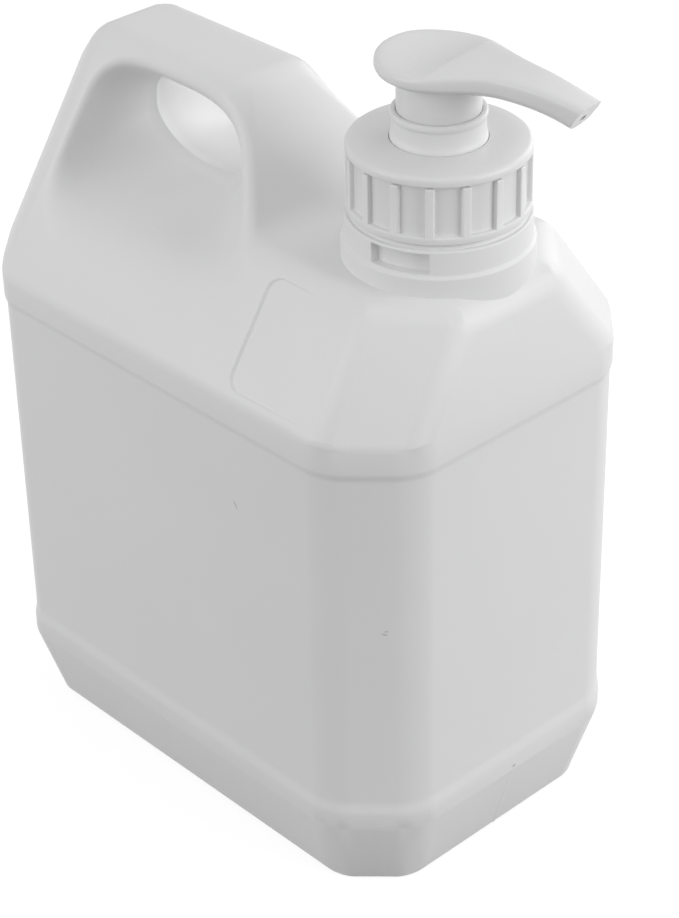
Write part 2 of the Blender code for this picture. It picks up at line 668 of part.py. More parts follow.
def make_guide_ring(material, parent):
    """Guide ring: a cup in the cylinder's mouth, with a wider rim that shows above the collar."""
    plug = RING_RADIUS - 0.0003
    floor_top = RING_FLOOR_Z + RING_FLOOR
    guide = ROD_RADIUS + GAP
    outline = [(guide, RING_FLOOR_Z), (plug, RING_FLOOR_Z), (plug, COLLAR_CEILING_Z),
               (RING_RADIUS, COLLAR_CEILING_Z), (RING_RADIUS, RING_TOP_Z - 0.0008),
               (RING_RADIUS - 0.0003, RING_TOP_Z - 0.0002), (RING_RADIUS - 0.0008, RING_TOP_Z),
               (RING_BORE + 0.0003, RING_TOP_Z), (RING_BORE, RING_TOP_Z - 0.0003),
               (RING_BORE, floor_top), (guide, floor_top)]
    return add_object("guide_ring", turned(outline), material, parent)


def make_cylinder(material, parent):
    """Pump cylinder: rest flange, wide mouth, chamber, ball seat and the dip tube's socket."""
    flange = NECK_RADIUS - 0.0006
    flange_top = FLANGE_Z + FLANGE_THICKNESS
    mouth = RING_RADIUS
    mouth_outer = mouth + MOUTH_WALL
    chamber_outer = CHAMBER_RADIUS + CHAMBER_WALL
    pocket = BALL_RADIUS + 0.0008
    pocket_bottom = CHAMBER_BOTTOM_Z - BALL_POCKET_DEPTH
    socket = TUBE_RADIUS + GAP
    socket_outer = socket + CHAMBER_WALL
    socket_end = TUBE_TOP_Z - SOCKET_LENGTH
    outline = [(mouth, flange_top), (mouth, MOUTH_BOTTOM_Z + 0.0010),
               (CHAMBER_RADIUS, MOUTH_BOTTOM_Z - 0.0010), (CHAMBER_RADIUS, CHAMBER_BOTTOM_Z),
               (pocket, CHAMBER_BOTTOM_Z), (pocket, BALL_Z),
               (INLET_RADIUS, pocket_bottom), (INLET_RADIUS, TUBE_TOP_Z + GAP), (socket, TUBE_TOP_Z + GAP),
               (socket, socket_end), (socket_outer, socket_end), (socket_outer, pocket_bottom - 0.0005),
               (chamber_outer, CHAMBER_BOTTOM_Z - 0.0025), (chamber_outer, MOUTH_BOTTOM_Z - 0.0016),
               (mouth_outer, MOUTH_BOTTOM_Z + 0.0006), (mouth_outer, FLANGE_Z), (flange, FLANGE_Z),
               (flange, flange_top)]
    return add_object("pump_cylinder", turned(outline[::-1], 36), material, parent)


def make_rod(material, parent):
    bottom = SEAT_Z + SEAT_FLANGE + GAP
    outline = [(ROD_BORE, bottom), (ROD_RADIUS, bottom), (ROD_RADIUS, ROD_TOP_Z), (ROD_BORE, ROD_TOP_Z)]
    return add_object("piston_rod", turned(outline, 24), material, parent)


def make_piston(material, parent):
    """Piston: a sleeve on the rod with two thin lips that wipe the chamber."""
    lip = CHAMBER_RADIUS - 0.00015
    waist = CHAMBER_RADIUS - 0.0012
    inner = ROD_RADIUS + GAP
    low, high = PISTON_BOTTOM_Z, PISTON_TOP_Z
    outline = [(inner, low + 0.0012), (waist - 0.0010, low + 0.0012), (lip - 0.0004, low), (lip, low),
               (lip, low + 0.0006), (waist, low + 0.0022), (waist, high - 0.0022), (lip, high - 0.0006),
               (lip, high), (lip - 0.0004, high), (waist - 0.0010, high - 0.0012), (inner, high - 0.0012)]
    return add_object("piston", turned(outline, 32), material, parent)


def make_seat(material, parent):
    """Piston seat: closes the rod's lower end, carries the piston and guides the spring."""
    flange = CHAMBER_RADIUS - 0.0010
    nose = ROD_RADIUS + 0.0002
    stem = ROD_BORE - GAP
    top = SEAT_Z + SEAT_FLANGE
    outline = [(0, SEAT_Z - SEAT_NOSE), (nose - 0.0012, SEAT_Z - SEAT_NOSE),
               (nose, SEAT_Z - SEAT_NOSE + 0.0015), (nose, SEAT_Z), (flange, SEAT_Z), (flange, top),
               (stem, top), (stem, top + 0.006), (0, top + 0.006)]
    return add_object("piston_seat", disc(outline, 24), material, parent)


def make_spring(material, parent):
    """Return spring: a round wire swept along a helix whose first and last turns lie flat."""
    low = CHAMBER_BOTTOM_Z + GAP + SPRING_WIRE
    high = SEAT_Z - GAP - SPRING_WIRE
    steps = SPRING_TURNS * SPRING_STEPS
    curve = bpy.data.curves.new("return_spring", "CURVE")
    curve.dimensions = "3D"
    curve.bevel_depth = SPRING_WIRE
    curve.bevel_resolution = 1
    curve.use_fill_caps = True
    line = curve.splines.new("POLY")
    line.points.add(steps)
    for i in range(steps + 1):
        turns = i / SPRING_STEPS
        angle = math.tau * turns
        rise = min(max((turns - FLAT_TURNS) / (SPRING_TURNS - 2 * FLAT_TURNS), 0.0), 1.0)
        height = low + (high - low) * rise
        line.points[i].co = (SPRING_RADIUS * math.cos(angle), SPRING_RADIUS * math.sin(angle), height, 1.0)
    curve.materials.append(material)
    wire = bpy.data.objects.new("return_spring", curve)
    bpy.context.collection.objects.link(wire)
    wire.parent = parent
    return wire


def make_ball(material, parent):
    bm = bmesh.new()
    bmesh.ops.create_icosphere(bm, subdivisions=2, radius=BALL_RADIUS)
    bmesh.ops.translate(bm, verts=bm.verts, vec=(0, 0, BALL_Z + GAP))
    return add_object("inlet_ball", bm, material, parent)


def make_dip_tube(material, parent):
    """Dip tube: reaches the base, with its end cut on a slant so that it can't seal itself."""
    outline = [(TUBE_BORE, TUBE_END_Z), (TUBE_RADIUS, TUBE_END_Z), (TUBE_RADIUS, TUBE_TOP_Z),
               (TUBE_BORE, TUBE_TOP_Z)]
    bm = turned(outline, 24)
    for vert in bm.verts:
        if vert.co.z < TUBE_END_Z + 0.001:
            vert.co.z += vert.co.x + TUBE_RADIUS
    return add_object("dip_tube", bm, material, parent)


def smooth_value(rows, column, where):
    """Read a column of the head's sections at any distance along the nozzle, on a smooth curve."""
    last = len(rows) - 1
    i = max(k for k in range(last) if rows[k][0] <= where or k == 0)
    before, start, end, after = (rows[min(max(k, 0), last)] for k in (i - 1, i, i + 1, i + 2))
    span = end[0] - start[0]
    t = (where - start[0]) / span
    slope_in = (end[column] - before[column]) / (end[0] - before[0]) * span
    slope_out = (after[column] - start[column]) / (after[0] - start[0]) * span
    a, b = start[column], end[column]
    return ((2 * t ** 3 - 3 * t ** 2 + 1) * a + (t ** 3 - 2 * t ** 2 + t) * slope_in
            + (-2 * t ** 3 + 3 * t ** 2) * b + (t ** 3 - t ** 2) * slope_out)


def head_plate():
    """The thumb plate and nozzle, lofted through sections across the nozzle's line."""
    first, last = HEAD_SECTIONS[0][0], HEAD_SECTIONS[-1][0]
    count, sides = 26, 20
    bm = bmesh.new()
    rings = []
    for k in range(count + 1):
        along = first + (last - first) * k / count
        half, top, under = (smooth_value(HEAD_SECTIONS, c, along) for c in (1, 2, 3))
        power = 2 / 3.2
        ring = []
        for i in range(sides):
            turn = math.tau * (i + 0.5) / sides
            dy = math.copysign(abs(math.cos(turn)) ** power, math.cos(turn))
            dz = math.copysign(abs(math.sin(turn)) ** power, math.sin(turn))
            setback = TIP_SETBACK * (1 - dz) / 2 * max(0.0, (along - 0.030) / (last - 0.030))
            height = (top + under) / 2 + (top - under) / 2 * dz
            ring.append(bm.verts.new((along - setback, half * dy, height)))
        rings.append(ring)
    loops = [[bm.edges.new((r[i], r[(i + 1) % sides])) for i in range(sides)] for r in rings]
    for one, two in zip(loops, loops[1:]):
        bmesh.ops.bridge_loops(bm, edges=one + two)
    back = bm.verts.new((-HEAD_RADIUS, 0, HEAD_BACK))
    for i in range(sides):
        bm.faces.new((rings[0][i], rings[0][(i + 1) % sides], back))
    bm.faces.new(rings[-1])
    bmesh.ops.recalc_face_normals(bm, faces=bm.faces)
    return bm


def nozzle_channel():
    """The passage from over the rod, along the middle of the nozzle and out of its tip."""
    last = HEAD_SECTIONS[-1][0]
    count, sides = 14, 12
    bm = bmesh.new()
    rings = []
    for k in range(count + 1):
        along = (last + 0.004) * k / count
        top, under = (smooth_value(HEAD_SECTIONS, c, min(along, last)) for c in (2, 3))
        level = (top + under) / 2 - CHANNEL_DROP * max(0.0, 1 - along / 0.012)
        turns = [math.tau * i / sides for i in range(sides)]
        points = [(NOZZLE_BORE * math.cos(turn), level + NOZZLE_BORE * math.sin(turn)) for turn in turns]
        rings.append([bm.verts.new((along, y, z)) for y, z in points])
    loops = [[bm.edges.new((r[i], r[(i + 1) % sides])) for i in range(sides)] for r in rings]
    for one, two in zip(loops, loops[1:]):
        bmesh.ops.bridge_loops(bm, edges=one + two)
    bm.faces.new(rings[0])
    bm.faces.new(rings[-1])
    bmesh.ops.recalc_face_normals(bm, faces=bm.faces)
    return bm


def make_head(material, parent):
    """Pump head: plate with nozzle, a skirt that slides in the guide ring and a socket for the rod."""
    turn = Matrix.Translation((0, 0, HEAD_Z)) @ Matrix.Rotation(NOZZLE_TURN, 4, "Z")
    bm = head_plate()
    bm.transform(turn)
    skirt_inner = SKIRT_RADIUS - SKIRT_WALL
    socket = ROD_RADIUS + GAP
    socket_outer = socket + SKIRT_WALL
    socket_z = SKIRT_BOTTOM_Z + SOCKET_RECESS
    skirt = turned([(skirt_inner, SKIRT_BOTTOM_Z), (SKIRT_RADIUS, SKIRT_BOTTOM_Z),
                    (SKIRT_RADIUS, PLATE_UNDER_Z), (skirt_inner, PLATE_UNDER_Z)], 40)
    bm = join_by_boolean(bm, skirt, "UNION")
    boss = disc([(0, socket_z), (socket_outer, socket_z), (socket_outer, PLATE_UNDER_Z),
                 (0, PLATE_UNDER_Z)], 24)
    bm = join_by_boolean(bm, boss, "UNION")
    end = ROD_TOP_Z + GAP
    rod_hole = disc([(0, SKIRT_BOTTOM_Z), (socket, SKIRT_BOTTOM_Z), (socket, end), (0, end)], 24)
    bm = join_by_boolean(bm, rod_hole, "DIFFERENCE")
    rise = disc([(0, ROD_TOP_Z), (NOZZLE_BORE, ROD_TOP_Z), (NOZZLE_BORE, PLATE_UNDER_Z),
                 (0, PLATE_UNDER_Z)], 12)
    bm = join_by_boolean(bm, rise, "DIFFERENCE")
    channel = nozzle_channel()
    channel.transform(turn)
    bm = join_by_boolean(bm, channel, "DIFFERENCE")
    return add_object("pump_head", bm, material, parent)


def main():
    clear_scene()
    base = add_empty("jug_base_middle", (-MIDDLE_X, 0, 0))
    pump = add_empty("pump_axis", AXIS, base)
    white = (0.86, 0.86, 0.86)
    make_jug(plastic("jug_plastic", white, 0.45), base)
    make_gasket(plastic("gasket_foam", (0.80, 0.80, 0.78), 0.80), pump)
    make_collar(plastic("collar_plastic", white, 0.35), pump)
    make_guide_ring(plastic("guide_ring_plastic", white, 0.35), pump)
    make_cylinder(plastic("cylinder_plastic", (0.82, 0.83, 0.84), 0.30), pump)
    make_rod(plastic("rod_plastic", (0.85, 0.85, 0.85), 0.30), pump)
    make_piston(plastic("piston_plastic", (0.80, 0.82, 0.84), 0.40), pump)
    make_seat(plastic("seat_plastic", (0.84, 0.84, 0.84), 0.35), pump)
    make_spring(plastic("spring_steel", (0.62, 0.62, 0.63), 0.25, 1.0), pump)
    make_ball(plastic("ball_steel", (0.66, 0.66, 0.67), 0.15, 1.0), pump)
    make_dip_tube(plastic("tube_plastic", (0.84, 0.86, 0.87), 0.30), pump)
    make_head(plastic("head_plastic", white, 0.30), pump)


main()
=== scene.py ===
# %% [markdown]
# # A shampoo dispenser jug
# The object is a white polyethylene jug with its carrying handle moulded in, and a lotion pump screwed on
# its neck. The jug is blown: a soft tube of plastic is pinched in a mould and inflated, so its edges are
# round, its wall is thin and a fine line runs round it where the mould's halves meet. The pump is injected:
# crisp ribs, even gloss, exact circles. The script loads the engineer's solids, makes the fine surfaces
# again where the camera comes close, and gives every piece its finish.

# %% Load the solids
import json
from math import atan2, copysign, cos, hypot, pi, radians, sin, tan, tau

import bmesh
import bpy
import numpy as np
from mathutils import Matrix, Vector
from mathutils.bvhtree import BVHTree


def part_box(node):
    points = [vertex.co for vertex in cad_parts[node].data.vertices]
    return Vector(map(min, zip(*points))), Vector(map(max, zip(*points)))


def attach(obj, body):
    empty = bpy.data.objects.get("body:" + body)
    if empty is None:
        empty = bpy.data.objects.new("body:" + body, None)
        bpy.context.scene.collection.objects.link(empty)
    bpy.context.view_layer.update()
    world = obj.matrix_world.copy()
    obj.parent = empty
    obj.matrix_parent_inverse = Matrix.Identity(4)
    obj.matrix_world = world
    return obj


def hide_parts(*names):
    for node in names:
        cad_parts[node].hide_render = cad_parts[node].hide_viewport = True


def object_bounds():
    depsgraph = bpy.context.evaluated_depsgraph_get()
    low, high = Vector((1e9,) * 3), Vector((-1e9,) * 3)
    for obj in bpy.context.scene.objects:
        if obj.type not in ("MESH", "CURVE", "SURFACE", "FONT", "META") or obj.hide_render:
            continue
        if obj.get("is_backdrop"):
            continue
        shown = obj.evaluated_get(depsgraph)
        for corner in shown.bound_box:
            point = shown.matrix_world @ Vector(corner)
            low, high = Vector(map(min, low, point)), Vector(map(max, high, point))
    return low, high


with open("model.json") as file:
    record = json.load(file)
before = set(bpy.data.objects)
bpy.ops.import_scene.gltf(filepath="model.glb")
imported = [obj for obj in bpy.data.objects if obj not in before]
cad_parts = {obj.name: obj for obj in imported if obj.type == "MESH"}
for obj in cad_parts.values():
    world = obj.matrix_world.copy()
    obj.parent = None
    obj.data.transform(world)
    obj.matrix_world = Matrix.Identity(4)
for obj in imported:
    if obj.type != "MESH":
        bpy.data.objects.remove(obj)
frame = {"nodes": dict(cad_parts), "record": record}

MM = 0.001
nodes = frame["nodes"]
cad_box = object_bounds()
collar_low, collar_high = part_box("screw_collar")
jug_low, jug_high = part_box("jug")
PUMP_X = (collar_low.x + collar_high.x) / 2
JUG_X = (jug_low.x + jug_high.x) / 2
print("pump axis at", round(PUMP_X / MM, 2), "mm, middle of the jug at", round(JUG_X / MM, 2), "mm along X")

# %% [markdown]
# ## The camera
# A product picture like this one is taken from well back with a long lens, so that upright edges stay
# nearly parallel. Its place, turn and focal length were found by fitting the jug's three printed sizes to
# the picture. The sensor's long side is the picture's height, so the lens is the focal length in pixels
# times 36 mm over 918 pixels. The alternative, framing by eye, never gets the taper of the sides right.

# %% Camera
AZIMUTH = radians(47.10)
ELEVATION = radians(32.75)
ROLL = radians(-1.19)
AIM = Vector((JUG_X + 12.68 * MM, 0.0, 93.39 * MM))
DISTANCE = 716.96 * MM
SENSOR, FOCAL_PIXELS, PICTURE_HEIGHT = 36, 2628.0, 918
back = Vector((sin(AZIMUTH) * cos(ELEVATION), -cos(AZIMUTH) * cos(ELEVATION),
               sin(ELEVATION)))
level = Vector((cos(AZIMUTH), sin(AZIMUTH), 0))
upright = back.cross(level)
right = level * cos(ROLL) + upright * sin(ROLL)
up = upright * cos(ROLL) - level * sin(ROLL)
lens = bpy.data.cameras.new("product_camera")
lens.sensor_width = SENSOR
lens.lens = FOCAL_PIXELS * SENSOR / PICTURE_HEIGHT
lens.clip_start = 0.01
camera = bpy.data.objects.new("product_camera", lens)
turn = Matrix((right, up, back)).transposed().to_4x4()
camera.matrix_world = Matrix.Translation(AIM + back * DISTANCE) @ turn
bpy.context.scene.collection.objects.link(camera)
bpy.context.scene.camera = camera
print("camera", [round(value, 3) for value in camera.location], "with a lens of", round(lens.lens, 1), "mm")

# %% [markdown]
# ## Handing a mesh to Blender, and back
# Every piece is drawn in a bmesh, which is Blender's mesh in a form that operators can change. One helper
# makes an object of it and another reads an object with its modifiers applied. Joining and cutting is left
# to the Boolean modifier, because it keeps a closed skin closed where two curved forms meet. Its exact
# solver is slower and doesn't tear thin walls. Two more helpers turn all faces outwards, and bridge loops
# into a closed tube.

# %% Objects and booleans
SAME_POINT = 0.000002
CUT_TOLERANCE = 0.0000001


def as_object(name, bm):
    mesh = bpy.data.meshes.new(name)
    bm.to_mesh(mesh)
    bm.free()
    item = bpy.data.objects.new(name, mesh)
    bpy.context.scene.collection.objects.link(item)
    return item


def with_modifiers(item):
    bm = bmesh.new()
    bm.from_object(item, bpy.context.evaluated_depsgraph_get())
    bpy.data.objects.remove(item, do_unlink=True)
    return bm


def combined(bm, other, operation):
    body, tool = as_object("body", bm), as_object("tool", other)
    cut = body.modifiers.new("cut", "BOOLEAN")
    cut.operation = operation
    cut.solver = "EXACT"
    cut.object = tool
    result = with_modifiers(body)
    bpy.data.objects.remove(tool, do_unlink=True)
    bmesh.ops.remove_doubles(result, verts=result.verts, dist=SAME_POINT)
    bmesh.ops.dissolve_degenerate(result, edges=result.edges, dist=SAME_POINT)
    return result


def report(label, bm):
    loose = sum(1 for edge in bm.edges if not edge.is_manifold)
    volume = round(bm.calc_volume() * 1e6, 1)
    print(label, "has", len(bm.faces), "faces,", loose, "open edges and", volume, "cubic cm")


def outward(bm):
    bmesh.ops.recalc_face_normals(bm, faces=bm.faces)
    return bm


def bridged(bm, loops, ends):
    for first, second in zip(loops, loops[1:]):
        bmesh.ops.bridge_loops(bm, edges=first + second)
    return [bmesh.ops.contextual_create(bm, geom=loops[end])["faces"] for end in ends]


# %% [markdown]
# ## The jug's flat form
# A blown jug starts as a toolmaker's block: flat faces, milled one after another, and rounded last. The
# same order works here. A big cube is cut by one plane for each face: eight upright sides, eight leaning
# strips down to the foot, the end that leans back over the shoulder, the cut corners above the shoulder,
# two slopes that rise to the handle like a roof, the handle's top and its slanted end. Each plane can be
# moved inwards, so the same function gives the space inside the wall.

# %% Sizes of the body
HALF_LENGTH, HALF_WIDTH = 79.0 * MM, 52.5 * MM
FRONT_CUT, BACK_CUT, BACK_SHOULDER_CUT = 17.3 * MM, 15.7 * MM, 14.0 * MM
FOOT_INSET, BEAD_LOW, SHOULDER = 6.7 * MM, 23.0 * MM, 142.0 * MM
SLOPE = radians(56.0)
END_LEAN, FRONT_LEAN, BACK_LEAN = radians(6.0), radians(29.7), radians(25.5)
HANDLE_TOP, PLATFORM = 201.5 * MM, 172.0 * MM
END_CUT = radians(42.0)
WALL = 1.5 * MM
RAW_CUBE, SMALLEST_EDGE = 0.5, 0.5 * MM
FLAT_BEND, SHARP_BEND = radians(1), radians(14)


def corner_ways():
    return [Vector((sx, sy, 0)).normalized() for sx in (-1, 1) for sy in (-1, 1)]


def corner_point(way, cut, height):
    return Vector((copysign(HALF_LENGTH, way.x), copysign(HALF_WIDTH - cut, way.y), height))


def upright_sides():
    planes = [(Vector((s * HALF_LENGTH, 0, 0)), Vector((s, 0, 0))) for s in (-1, 1)]
    planes += [(Vector((0, s * HALF_WIDTH, 0)), Vector((0, s, 0))) for s in (-1, 1)]
    planes += [(corner_point(way, FRONT_CUT if way.x > 0 else BACK_CUT, 0), way) for way in corner_ways()]
    return planes


def meeting_point(planes):
    rows = np.array([list(normal) for _, normal in planes])
    reach = np.array([normal.dot(point) for point, normal in planes])
    return Vector(np.linalg.solve(rows, reach))


def flat_faces(inset):
    planes = []
    lean = atan2(FOOT_INSET, BEAD_LOW)
    for point, way in upright_sides():
        leaning = way * cos(lean) - Vector((0, 0, sin(lean)))
        planes += [(point, way), (point + Vector((0, 0, BEAD_LOW)), leaning)]
    planes.append((Vector((HALF_LENGTH, 0, SHOULDER)), Vector((cos(END_LEAN), 0, sin(END_LEAN)))))
    for way in corner_ways():
        lean, cut = (FRONT_LEAN, FRONT_CUT) if way.x > 0 else (BACK_LEAN, BACK_SHOULDER_CUT)
        leaning = way * cos(lean) + Vector((0, 0, sin(lean)))
        planes.append((corner_point(way, cut, SHOULDER), leaning))
    back_facet = len(planes) - 3
    for s in (-1, 1):
        rising = Vector((0, s * sin(SLOPE), cos(SLOPE)))
        planes.append((Vector((0, s * HALF_WIDTH, SHOULDER)), rising))
    gable = len(planes) - 1
    planes.append((Vector((0, 0, 0)), Vector((0, 0, -1))))
    planes.append((Vector((0, 0, HANDLE_TOP)), Vector((0, 0, 1))))
    planes = [(point - normal * inset, normal) for point, normal in planes]
    crown = meeting_point([planes[back_facet], planes[gable], planes[-1]])
    planes.append((crown, Vector((-sin(END_CUT), 0, cos(END_CUT)))))
    return planes


def cut_flat(bm, point, normal):
    geometry = list(bm.verts) + list(bm.edges) + list(bm.faces)
    cut = bmesh.ops.bisect_plane(bm, geom=geometry, plane_co=point, plane_no=normal, clear_outer=True,
                                 dist=CUT_TOLERANCE)
    rim = [item for item in cut["geom_cut"] if isinstance(item, bmesh.types.BMEdge)]
    if len(rim) > 2:
        bmesh.ops.contextual_create(bm, geom=rim)
    outward(bm)


def flat_form(inset):
    bm = bmesh.new()
    bmesh.ops.create_cube(bm, size=RAW_CUBE)
    for point, normal in flat_faces(inset):
        cut_flat(bm, point, normal)
    bmesh.ops.remove_doubles(bm, verts=bm.verts, dist=SMALLEST_EDGE)
    return bm


# %% [markdown]
# ## The platform and the handle's leg
# In front of the handle the roof is cut down to a level platform for the neck, and the handle's leg comes
# down to it on a slope. That is one cut through the block: its outline is drawn in side view, pulled
# through the whole width and taken away. It has an arc at the foot of the slope, because a sharp inner
# corner would thin the plastic as it is blown.

# %% Cutting out the platform
LEG_SLOPE, LEG_TOP_X, LEG_FILLET = radians(51.7), -9.3 * MM, 10.0 * MM
ABOVE, BEYOND, FILLET_STEPS = 20 * MM, 30 * MM, 10


def arc(middle, radius, start, end, steps):
    return [(middle[0] + radius * cos(start + (end - start) * i / steps),
             middle[1] + radius * sin(start + (end - start) * i / steps)) for i in range(steps + 1)]


def platform_cut(inset):
    floor, fillet = PLATFORM - inset, LEG_FILLET + inset
    slope_x = LEG_TOP_X - inset / sin(LEG_SLOPE)
    foot_x = slope_x + (HANDLE_TOP - floor) / tan(LEG_SLOPE)
    middle = (foot_x + fillet * tan(LEG_SLOPE / 2), floor + fillet)
    high, far = HANDLE_TOP + ABOVE, HALF_LENGTH + BEYOND
    top_x = slope_x - (high - HANDLE_TOP) / tan(LEG_SLOPE)
    outline = [(far, floor), *arc(middle, fillet, -pi / 2, -pi / 2 - LEG_SLOPE, FILLET_STEPS),
               (top_x, high), (far, high)]
    bm = bmesh.new()
    face = bm.faces.new([bm.verts.new((x, -2 * HALF_WIDTH, z)) for x, z in outline])
    pulled = bmesh.ops.extrude_face_region(bm, geom=[face])
    moved = [item for item in pulled["geom"] if isinstance(item, bmesh.types.BMVert)]
    bmesh.ops.translate(bm, verts=moved, vec=(0, 4 * HALF_WIDTH, 0))
    return outward(bm)


def stepped_form(inset):
    bm = combined(flat_form(inset), platform_cut(inset), "DIFFERENCE")
    bmesh.ops.dissolve_limit(bm, angle_limit=FLAT_BEND, verts=bm.verts, edges=bm.edges)
    return bm


stepped = stepped_form(0.0)
report("the block with its platform", stepped)
stepped.free()

# %% [markdown]
# ## Rounding
# The upright corners have a big radius at the pump's end and half of that at the back, the shoulder a
# smaller one and the foot a small one, and the handle is round enough for a hand. The bevel operator takes
# one width for all its edges, and the corners where edges of different radius meet would tear apart if it
# ran once for each radius. The Bevel modifier reads a weight from each edge and rounds everything in one
# go. The width to cut for a radius is the radius times the tangent of half the bend. Its clamp is off,
# because it would make every radius smaller to suit the tightest corner.

# %% Rounding every edge by its own radius
CORNER_ROUND, SHOULDER_ROUND, RIDGE_ROUND = 15.5 * MM, 5.0 * MM, 9.0 * MM
TOP_ROUND, BEAD_ROUND, FOOT_ROUND, BACK_ROUND = 8.0 * MM, 4.5 * MM, 2.2 * MM, 8.0 * MM
WIDEST_CUT, LEAST_ROUND = 20.0 * MM, 0.8 * MM


def edge_radius(edge):
    first, second = (face.normal for face in edge.link_faces)
    height = (edge.verts[0].co.z + edge.verts[1].co.z) / 2
    if first.angle(second) < SHARP_BEND:
        return 0.0
    if height < 3 * MM:
        return FOOT_ROUND
    if (abs(first.z) < 0.02 and abs(second.z) < 0.02) or height < BEAD_LOW - 1 * MM:
        return CORNER_ROUND if edge.verts[0].co.x > 0 else BACK_ROUND
    if height < BEAD_LOW + 1 * MM:
        return BEAD_ROUND
    if height < SHOULDER + 2 * MM:
        return SHOULDER_ROUND
    return TOP_ROUND if height > HANDLE_TOP - 4 * MM else RIDGE_ROUND


def rounded(bm, inset, steps):
    layer = bm.edges.layers.float.new("bevel_weight_edge")
    bm.normal_update()
    for edge in bm.edges:
        radius = edge_radius(edge)
        if radius and edge.is_convex:
            bend = edge.link_faces[0].normal.angle(edge.link_faces[1].normal)
            edge[layer] = max(radius - inset, LEAST_ROUND) * tan(bend / 2) / WIDEST_CUT
    item = as_object("rounding", bm)
    bevel = item.modifiers.new("rounding", "BEVEL")
    bevel.limit_method = "WEIGHT"
    bevel.width = WIDEST_CUT
    bevel.segments = steps
    bevel.miter_outer = "MITER_SHARP"
    bevel.use_clamp_overlap = False
    return with_modifiers(item)


# %% [markdown]
# ## Panels and foot
# Between a lower and an upper bead the sides are set back by less than a millimetre. That keeps a label
# from rubbing and stiffens the wall. The skin is cut level at both ends of each step, and everything
# between moves in along its own level direction. Under the base the middle is pressed up, so that the jug
# stands on a ring and doesn't rock.

# %% Setting back the panels, pressing up the base
PANEL_LOW, PANEL_HIGH = 27.5 * MM, 135.0 * MM
PANEL_DEPTH, LOW_STEP, HIGH_STEP = 0.65 * MM, 4.5 * MM, 3.0 * MM
FOOT_RING, BASE_SLOPE, BASE_HOLLOW = 11.0 * MM, 4.0 * MM, 1.4 * MM


def eased(t):
    t = min(max(t, 0.0), 1.0)
    return t * t * (3 - 2 * t)


def cut_level(bm, point, normal):
    geometry = list(bm.verts) + list(bm.edges) + list(bm.faces)
    bmesh.ops.bisect_plane(bm, geom=geometry, plane_co=point, plane_no=normal, dist=CUT_TOLERANCE)


def press_panels(bm, steps):
    for edge, step in ((PANEL_LOW, LOW_STEP), (PANEL_HIGH, -HIGH_STEP)):
        for i in range(steps + 1):
            cut_level(bm, (0, 0, edge + step * i / steps), (0, 0, 1))
    bm.normal_update()
    moves = []
    for vert in bm.verts:
        depth = eased((vert.co.z - PANEL_LOW) / LOW_STEP) * eased((PANEL_HIGH - vert.co.z) / HIGH_STEP)
        if depth > 0:
            moves.append((vert, Vector((vert.normal.x, vert.normal.y, 0)).normalized() * depth * PANEL_DEPTH))
    for vert, move in moves:
        vert.co -= move


def press_base(bm):
    base = min(bm.faces, key=lambda face: face.calc_center_median().z)
    for width in (FOOT_RING, BASE_SLOPE):
        bmesh.ops.inset_region(bm, faces=[base], thickness=width, use_even_offset=True)
    bmesh.ops.translate(bm, verts=list(base.verts), vec=(0, 0, BASE_HOLLOW))


# %% [markdown]
# ## The parting line
# Where the two halves of the blow mould close, a hair of plastic is squeezed out. It runs round the jug in
# the plane of symmetry, over the handle, down the end and under the base, where it is strongest because the
# tube was pinched shut there. A bump map could fake it, but a line this long is seen in outline too, so the
# skin is cut along it and the middle cut is lifted, by a seventh of a millimetre at the foot and by a hair
# above it. The outermost of the five cuts only hold the shading: without them the face beside the line
# would look tilted.

# %% Raising the parting line
LINE_HALF_WIDTH = 0.38 * MM
LINE_HEIGHT, FOOT_EXTRA, FOOT_REACH = 0.015 * MM, 0.13 * MM, 28 * MM


def raise_parting_line(bm):
    for share in (-3, -1, 0, 1, 3):
        cut_level(bm, (0, share * LINE_HALF_WIDTH, 0), (0, 1, 0))
    bm.normal_update()
    for vert in bm.verts:
        if abs(vert.co.y) < 0.001 * MM:
            height = LINE_HEIGHT + FOOT_EXTRA * (1 - eased(vert.co.z / FOOT_REACH))
            way = Vector((vert.normal.x, 0, vert.normal.z)).normalized()
            vert.co += way * height
            vert.co.x = min(max(vert.co.x, -HALF_LENGTH), HALF_LENGTH)
            vert.co.z = max(vert.co.z, 0.0)


# %% [markdown]
# ## The finger hole
# The hole is the hardest form on the jug. In the parting plane it is a small rounded window. From there its
# roof and its front wall flare out like a trumpet, while the floor stays nearly level and melts into the
# slope with no edge at all. Its cross-section is a rounded box whose corners get tighter or softer with one
# power, and the lower corner at the back gets tighter outwards. It is lofted: many lines run along its wall
# from the parting plane, where a low weld ridge stands up, outwards. Each finds where it leaves the body
# with a nearest-point search, and turns over into the body's own surface on a short curve. Rings through
# the lines are bridged, and the closed plug is taken away from the body.

# %% Lines along the wall of the finger hole
HOLE_LEFT, HOLE_RIGHT, HOLE_FLOOR, HOLE_ROOF = -57.6 * MM, -17.0 * MM, 165.6 * MM, 188.5 * MM
SQUARENESS, SOFT_CORNER, TIGHT_CORNER = 3.2, 1.9, 5.5
ROOF_FLARE, ROOF_START = 0.85, 7.0 * MM
FRONT_FLARE, FRONT_START = 1.15, 6.2 * MM
LEFT_DRAFT, FLOOR_FLARE, FLOOR_START = 0.06, 0.17, 8.0 * MM
LEFT_SETBACK, RIM_SETBACK, FLOOR_SETBACK = 2.4 * MM, 4.2 * MM, 12.0 * MM
WELD_HEIGHT, WELD_WIDTH = 0.4 * MM, 0.6 * MM
CORNER_REACH, LANDING_LIFT, PLUG_LIFT = 30 * MM, 0.12 * MM, 3 * MM
FIRST_REACH, REACH_STEP, HALVINGS = 4 * MM, 1.5 * MM, 12


def signed_power(value, power):
    return copysign(abs(value) ** power, value)


